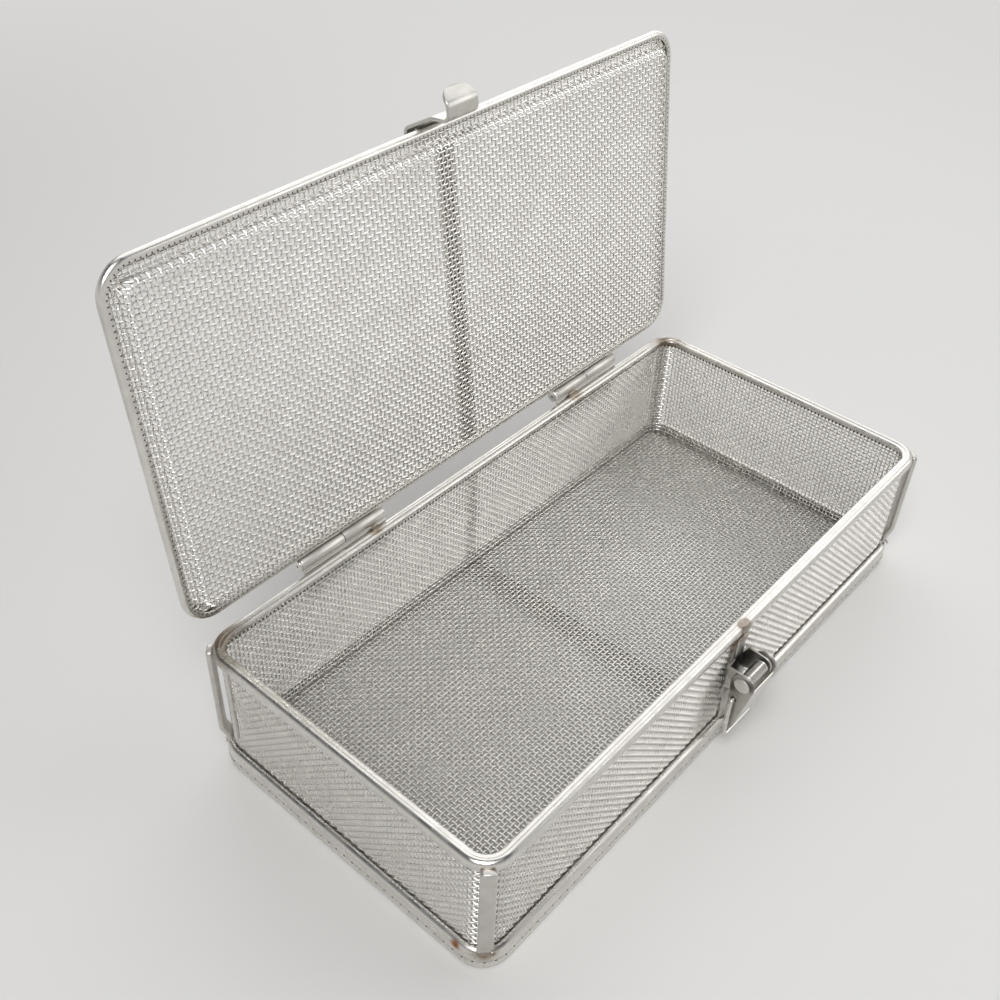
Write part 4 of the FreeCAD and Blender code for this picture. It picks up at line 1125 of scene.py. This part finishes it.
# --- Hinges ---
@dataclass
class Hinge:
    """Hinge of two leaves rolled round one pin, half of the barrel each."""

    side: str
    basket_half: Pair
    lid_half: Pair
    head: float                 # x of the seat of the pin's head
    end: float                  # x of the pin's other end
    hexagonal: bool = False
    barrel_radius: float = 2.3
    leaf: float = 0.8
    pin_radius: float = 1.45
    head_height: float = 0.8
    washer: float = 0.32        # thickness of the washer under the hexagon
    gap_inset: float = 0.15     # of the dark ring of painted shade between the two halves
    dimple_size: Triple = (0.42, 0.42, 0.05)
    basket_wing: Pair = (45.5, 52.68)               # z of the upright leaf
    lid_wing: Pair = (55.2, 59.68)                  # y of the level leaf

    @property
    def roll(self) -> float:
        """Radius of the middle of the rolled sheet."""
        return self.barrel_radius - self.leaf / 2

    def rolled(self, line: Array, x_from: float, x_to: float) -> Surface:
        """Strip of a (y, z) line carried along X, thinner at both ends so they are eased."""
        step = np.array([0.0, 0.06, 0.2])
        x = np.concatenate([x_from + step, (x_to - step)[::-1]])
        thickness = self.leaf * np.array([0.55, 0.82, 1.0, 1.0, 0.82, 0.55])
        section = np.stack([strip_section(line, t) for t in thickness])
        return swept(along_x(x), Y_AXIS, Z_AXIS, section)

    def basket_leaf(self) -> None:
        """Upright leaf behind the rim and the tube that stands on it, round the pin."""
        line = arc_points(HINGE_AXIS, self.roll, 205, -152, 44)
        ends = (*self.basket_half, *self.lid_half)
        low, high = self.basket_wing
        y, middle = HINGE_AXIS[0] - self.roll, (low + high) / 2
        wing = bar((min(ends), y, middle), (max(ends), y, middle), Z_AXIS, high - low,
                   self.leaf)
        add_piece(f"basket_leaf_{self.side}",
                  Surface.joined([self.rolled(line, *self.basket_half), wing]),
                  Finish.BARREL_SHEET, f"hinge_leaf_{self.side}")

    def lid_leaf(self) -> None:
        """Leaf on the lid's top, rolled down and round the pin; worked out shut."""
        (y, z), (low, high) = HINGE_AXIS, self.lid_wing
        flat = [(w, z + self.roll) for w in np.linspace(low, y - 0.3, 4)]
        line = np.concatenate([flat, arc_points(HINGE_AXIS, self.roll, 90, -238, 44)])
        start, end = ((x, (low + high) / 2, z + self.roll) for x in self.basket_half)
        wing = bar(start, end, Y_AXIS, high - low, self.leaf)
        add_piece(f"lid_leaf_{self.side}",
                  Surface.joined([self.rolled(line, *self.lid_half), wing]),
                  Finish.BARREL_SHEET, f"lid_hinge_leaf_{self.side}", body=Body.LID)

    def pin(self) -> None:
        """Pin through both tubes, its head round and dished or a hexagon on a washer; the dish is
        a dark mound of painted shade.
        """
        seat, top = self.head, self.head - self.head_height
        parts = [eased_rod(seat, self.end, self.pin_radius, 0.2, HINGE_AXIS)]
        if self.hexagonal:
            parts.append(spindle(np.array([top, seat - 0.66, seat - 0.3]),
                                 np.array([2.05, 2.4, 2.4]), HINGE_AXIS, 6))
            parts.append(eased_rod(seat - self.washer, seat, self.barrel_radius, 0.1,
                                   HINGE_AXIS))
        else:
            parts.append(eased_rod(top, seat, self.barrel_radius, 0.35, HINGE_AXIS))
        add_piece(f"hinge_rod_{self.side}", Surface.joined(parts), Finish.BRIGHT_WIRE,
                  f"hinge_pin_{self.side}")
        low, high = sorted((*self.basket_half, *self.lid_half))[1:3]
        # Painted shade: a dark ring in the gap between the two halves of the barrel.
        gap = eased_rod(low, high, self.barrel_radius - self.gap_inset, 0.02, HINGE_AXIS)
        # Painted shade: a dark mound on the head stands for its dish.
        dimple = bead((top + 0.01, *HINGE_AXIS), -X_AXIS, self.dimple_size, Y_AXIS)
        for name, surface in (("gap", gap), ("rod_dimple_shade", dimple)):
            add_piece(f"hinge_{name}_{self.side}", surface, Finish.PAINTED_SHADE)

    def dress(self) -> None:
        """Builds the hinge's leaves and its pin."""
        self.basket_leaf()
        self.lid_leaf()
        self.pin()


# --- Latch ---
@dataclass
class Latch:
    """Toggle latch: base plate with ears, rivet, spring, lever and bail."""

    pivot: Pair = (-65.8, 34.8)
    hole: Pair = (-64.0, 26.9)
    tip: Pair = (-64.0, 14.4)
    sheet: float = 0.8
    head_radius: float = 4.2
    tip_radius: float = 1.7
    cheek: float = 6.9          # middle of each cheek
    ear: float = 5.8            # middle of each ear of the base plate
    plate: float = -59.05       # y of the middle of the base plate
    plate_half: float = 6.2
    plate_span: Pair = (22.0, 38.2)                 # its bottom and top
    tab_half: float = 2.3       # welding tab above the plate
    tab_top: float = 47.5
    rivet: Triple = (7.38, 7.95, 2.75)              # seat, top and radius of its heads
    shank: Pair = (7.5, 1.2)    # half length and radius
    hole_rim: float = 1.15
    web_drop: float = 2.4
    wire_radius: float = 0.75
    spring_radius: float = 2.1
    spring_wire: float = 0.36
    spring_room: float = 5.1
    spring_turns: int = 10

    def base(self) -> None:
        """Plate on the front strap with a welding tab above and two ears for the pin."""
        (low, high), wide, narrow = self.plate_span, self.plate_half, self.tab_half
        plate = rounded([(-wide, low), (wide, low), (wide, high), (narrow, high),
                         (narrow, self.tab_top), (-narrow, self.tab_top), (-narrow, high),
                         (-wide, high)], [0.9] * 3 + [0.7] * 4 + [0.9], 6, closed=True)
        ear = rounded([(-58.7, 38.2), (-68.7, 37.7), (-68.7, 31.9), (-58.7, 28.0)],
                      [0.3, 2.75, 2.75, 0.3], 9, closed=True)
        parts = [eased_plate(plate, self.sheet, 0.25, (0, self.plate, 0), X_AXIS, Z_AXIS)]
        parts += [eased_plate(ear, self.sheet, 0.25, (x, 0, 0), Y_AXIS, Z_AXIS)
                  for x in (-self.ear, self.ear)]
        add_piece("latch_mounting", Surface.joined(parts), Finish.MOUNTING_SHEET,
                  "latch_base_plate")

    def pin(self) -> None:
        """Pin with a low rounded head outside each cheek."""
        seat, top, radius = self.rivet
        heads = [head_dome(side * seat, side * top, radius, self.pivot) for side in (-1, 1)]
        add_piece("latch_rivet_heads", Surface.joined(heads), Finish.BARREL_SHEET, "latch_pin")
        # The shank is painted dark as shade inside the spring.
        half, thin = self.shank
        add_piece("latch_rivet_shank", eased_rod(-half, half, thin, 0.1, self.pivot),
                  Finish.PAINTED_SHADE, "latch_pin")

    def spring(self) -> None:
        """Closed coils round the pin: x grows evenly with the turn, radius is constant."""
        steps = self.spring_turns * 16 + 1
        turn = np.linspace(0, 2 * math.pi * self.spring_turns, steps)
        room = self.spring_room - self.spring_wire
        x = np.linspace(-room, room, steps)
        out = np.stack([np.zeros(steps), np.cos(turn), np.sin(turn)], axis=-1)
        path = along_x(x, self.pivot) + out * self.spring_radius
        add_piece("torsion_spring", tubes(path, out, self.spring_wire, 8),
                  Finish.BRIGHT_WIRE, "latch_spring", slot=Slot.WIRE)

    def teardrop(self) -> Pair:
        """Angles, in degrees, of the line between the rounds and from it to the tangents.

        The tangents leave each round at the line's angle plus and minus the arc cosine of
        the difference of the radii over the distance of the centres.
        """
        run, rise = self.tip[0] - self.pivot[0], self.tip[1] - self.pivot[1]
        line = math.degrees(math.atan2(rise, run))
        spread = math.degrees(math.acos((self.head_radius - self.tip_radius)
                                        / math.hypot(run, rise)))
        return line, spread

    def lever(self) -> None:
        """Two teardrop cheeks and the web along their front edge and round their tip."""
        line, spread = self.teardrop()
        outline = np.concatenate([
            arc_points(self.pivot, self.head_radius, line + spread, line - spread + 360, 33),
            arc_points(self.tip, self.tip_radius, line - spread, line + spread, 17)])
        cheeks = [eased_plate(outline, self.sheet, 0.3, (x, 0, 0), Y_AXIS, Z_AXIS)
                  for x in (-self.cheek, self.cheek)]
        half = self.sheet / 2
        leave = line - spread
        edge = arc_points(self.pivot, self.head_radius - half, leave, leave, 1)[0]
        round_tip = arc_points(self.tip, self.tip_radius - half, leave, -90, 9)
        way = (self.pivot[1] - self.web_drop - edge[1]) / (round_tip[0, 1] - edge[1])
        start = edge + (round_tip[0] - edge) * way
        straight = start + (round_tip[0] - start) * np.linspace(0, 0.98, 4)[:, None]
        web = strip_section(np.concatenate([straight, round_tip]), self.sheet)
        add_piece("lever_cheeks", Surface.joined(cheeks), Finish.LEVER_SHEET, "latch_lever",
                  body=Body.LEVER)
        width = np.array([-self.cheek, self.cheek])
        add_piece("lever_web", swept(along_x(width), Y_AXIS, Z_AXIS, web), Finish.BRIGHT_WIRE,
                  "latch_lever", body=Body.LEVER)
        # Painted shade: dark rings round the bail's holes in the cheeks.
        face, size = self.cheek + half - 0.01, (self.hole_rim, self.hole_rim, 0.05)
        rings = [bead((side * face, *self.hole), (side, 0, 0), size, Y_AXIS)
                 for side in (-1, 1)]
        add_piece("bail_hole_painted_shade", Surface.joined(rings), Finish.PAINTED_SHADE, body=Body.LEVER)

    def bail(self) -> None:
        """Round wire loop hung in the lever's cheeks, sized from its solid."""
        solid_low, solid_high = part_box("latch_bail")
        low = solid_low.z / MM + self.wire_radius
        leg = solid_high.x / MM - self.wire_radius
        inside, (y, z) = 6.2, self.hole
        path = rounded([(-inside, y, z), (-leg, y, z), (-leg, y, low), (leg, y, low),
                        (leg, y, z), (inside, y, z)], [0, 0.8, 1.8, 1.8, 0.8, 0], 8)
        add_piece("bail_wire", tubes(path, Y_AXIS, self.wire_radius, 14), Finish.BRIGHT_WIRE,
                  "latch_bail", body=Body.BAIL, slot=Slot.WIRE)

    def dress(self) -> None:
        """Builds the latch."""
        self.base()
        self.pin()
        self.spring()
        self.lever()
        self.bail()


# --- Solids ---
def finish_solids(nodes: dict[str, bpy.types.Object]) -> None:
    """Gives every solid a steel finish, for a view that shows the solids themselves."""
    satin = Finish.SATIN_SHEET.value.material()
    bright = Finish.BRIGHT_WIRE.value.material()
    for name, node in nodes.items():
        wire = any(word in name for word in ("pin", "bail", "spring"))
        node.data.materials.clear()
        node.data.materials.append(bright if wire else satin)


# --- Stage ---
@dataclass(frozen=True)
class Lamp:
    """Square soft lamp."""

    name: str
    place: Triple
    size: float
    power: float                # watts


@dataclass
class Stage:
    """Pale floor, soft light and the camera."""

    camera_place: Triple = (-254.39, -166.87, 328.07)
    camera_axes: tuple[Triple, ...] = (     # right, up, back
        (0.659655, -0.750852, 0.032829), (0.473852, 0.449410, 0.757295),
        (-0.583369, -0.483997, 0.652248))
    focal: float = 43.2208
    sensor: float = 36.0
    floor_size: float = 6000.0
    floor_near: float = 350.0   # from here on the table fades into the backdrop ...
    floor_far: float = 900.0    # ... and here it has become it
    table: str = "dddcda"
    backdrop: str = "d9d8d6"
    ceiling: str = "56565a"
    lamps: tuple[Lamp, ...] = (Lamp("key", (-500, -300, 900), 500, 7.2),
                               Lamp("fill", (600, -500, 500), 600, 1.7),
                               Lamp("back", (520, 380, 700), 1300, 7.2))
    aim: Triple = (0, 0, 40)

    def camera(self) -> None:
        """Camera from its place and its three axes."""
        data = bpy.data.cameras.new("camera")
        data.lens = self.focal
        data.sensor_width = self.sensor
        data.clip_end = 100.0
        camera = put("camera", data)
        turn = Matrix(self.camera_axes).transposed()
        camera.matrix_world = Matrix.Translation(Vector(self.camera_place) * MM) @ turn.to_4x4()
        bpy.context.scene.camera = camera

    def seen(self, tree: Tree) -> Socket:
        """1 for rays from the camera, mirrored rays and rays through glass, otherwise 0."""
        rays = add_node(tree, "LightPath").outputs
        first = maths(tree, "MAXIMUM", rays["Is Camera Ray"], rays["Is Glossy Ray"])
        return maths(tree, "MAXIMUM", first, rays["Is Transmission Ray"])

    def floor(self) -> None:
        """Plain pale floor, which far out becomes the even backdrop."""
        half = self.floor_size * MM / 2
        mesh = bpy.data.meshes.new("floor")
        mesh.from_pydata([(-half, -half, 0), (half, -half, 0), (half, half, 0),
                          (-half, half, 0)], [], [(0, 1, 2, 3)])
        floor = put("floor", mesh)
        material = new_material("pale_table")
        tree = material.node_tree
        place = add_node(tree, "TexCoord").outputs["Object"]
        away = add_node(tree, "VectorMath", {0: place}, operation="LENGTH").outputs["Value"]
        far = ranged(tree, away, (self.floor_near * MM, self.floor_far * MM), (0.0, 1.0))
        table = add_node(tree, "BsdfPrincipled", {
            "Base Color": linear(self.table), "Roughness": 0.9})
        haze = add_node(tree, "Emission", {"Color": linear(self.backdrop)})
        shader = add_node(tree, "MixShader", {
            0: maths(tree, "MULTIPLY", far, self.seen(tree)), 1: table.outputs[0],
            2: haze.outputs[0]})
        add_node(tree, "OutputMaterial", {"Surface": shader.outputs[0]})
        mesh.materials.append(material)

    def light(self) -> None:
        """The lamps, each turned towards the point they are aimed at."""
        for lamp in self.lamps:
            data = bpy.data.lights.new(lamp.name, "AREA")
            data.shape, data.size, data.energy = "SQUARE", lamp.size * MM, lamp.power
            way = Vector(self.aim) - Vector(lamp.place)
            turn = way.to_track_quat("-Z", "Y").to_matrix().to_4x4()
            put(lamp.name, data).matrix_world = (
                Matrix.Translation(Vector(lamp.place) * MM) @ turn)

    def world(self) -> None:
        """Room: pale all round, darker high up, so that metal shows light and dark."""
        world = bpy.data.worlds.new("room")
        world.use_nodes = True
        bpy.context.scene.world = world
        tree = world.node_tree
        tree.nodes.clear()
        place = add_node(tree, "TexCoord").outputs["Generated"]
        height = add_node(tree, "SeparateXYZ", {"Vector": place}).outputs["Z"]
        ramp = add_node(tree, "ValToRGB", {"Fac": height})
        for element, position, colour in zip(ramp.color_ramp.elements, (0.12, 0.7),
                                             (self.backdrop, self.ceiling)):
            element.position, element.color = position, linear(colour)
        strength = ranged(tree, self.seen(tree), (0.0, 1.0), (0.25, 1.0), "LINEAR")
        background = add_node(tree, "Background", {
            "Color": ramp.outputs["Color"], "Strength": strength})
        add_node(tree, "OutputWorld", {"Surface": background.outputs[0]})

    def dress(self) -> None:
        """Builds the stage."""
        self.world()
        self.floor()
        self.camera()
        self.light()


def main() -> None:
    """Builds the scene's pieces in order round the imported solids."""
    logging.basicConfig(level=logging.INFO, format="%(message)s")
    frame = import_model()
    scene = bpy.context.scene
    scene.view_settings.view_transform = "Standard"
    finish_solids(frame["nodes"])
    WallCloth().dress()
    PanelCloth("floor_cloth", "floor_mesh", Body.BASKET, x_half=121.7, y_front=-58.7,
               y_back=58.7, radius=9.2, height=4.25).dress()
    PanelCloth("lid_cloth", "lid_mesh", Body.LID, x_half=122.2, y_front=-59.4, y_back=57.8,
               radius=9.7, height=54.8, pan_x=117.9, pan_front=-54.9, pan_back=54.9,
               pan_depth=3.6).dress()
    BasketFrame().dress()
    Lid().dress()
    Hinge("left", basket_half=(-60.85, -42.5), lid_half=(-79.5, -61.15), head=-79.6,
          end=-42.5).dress()
    Hinge("right", basket_half=(51.0, 69.35), lid_half=(69.65, 88.0), head=50.9, end=88.0,
          hexagonal=True).dress()
    Latch().dress()
    Stage().dress()


if __name__ == "__main__":
    main()
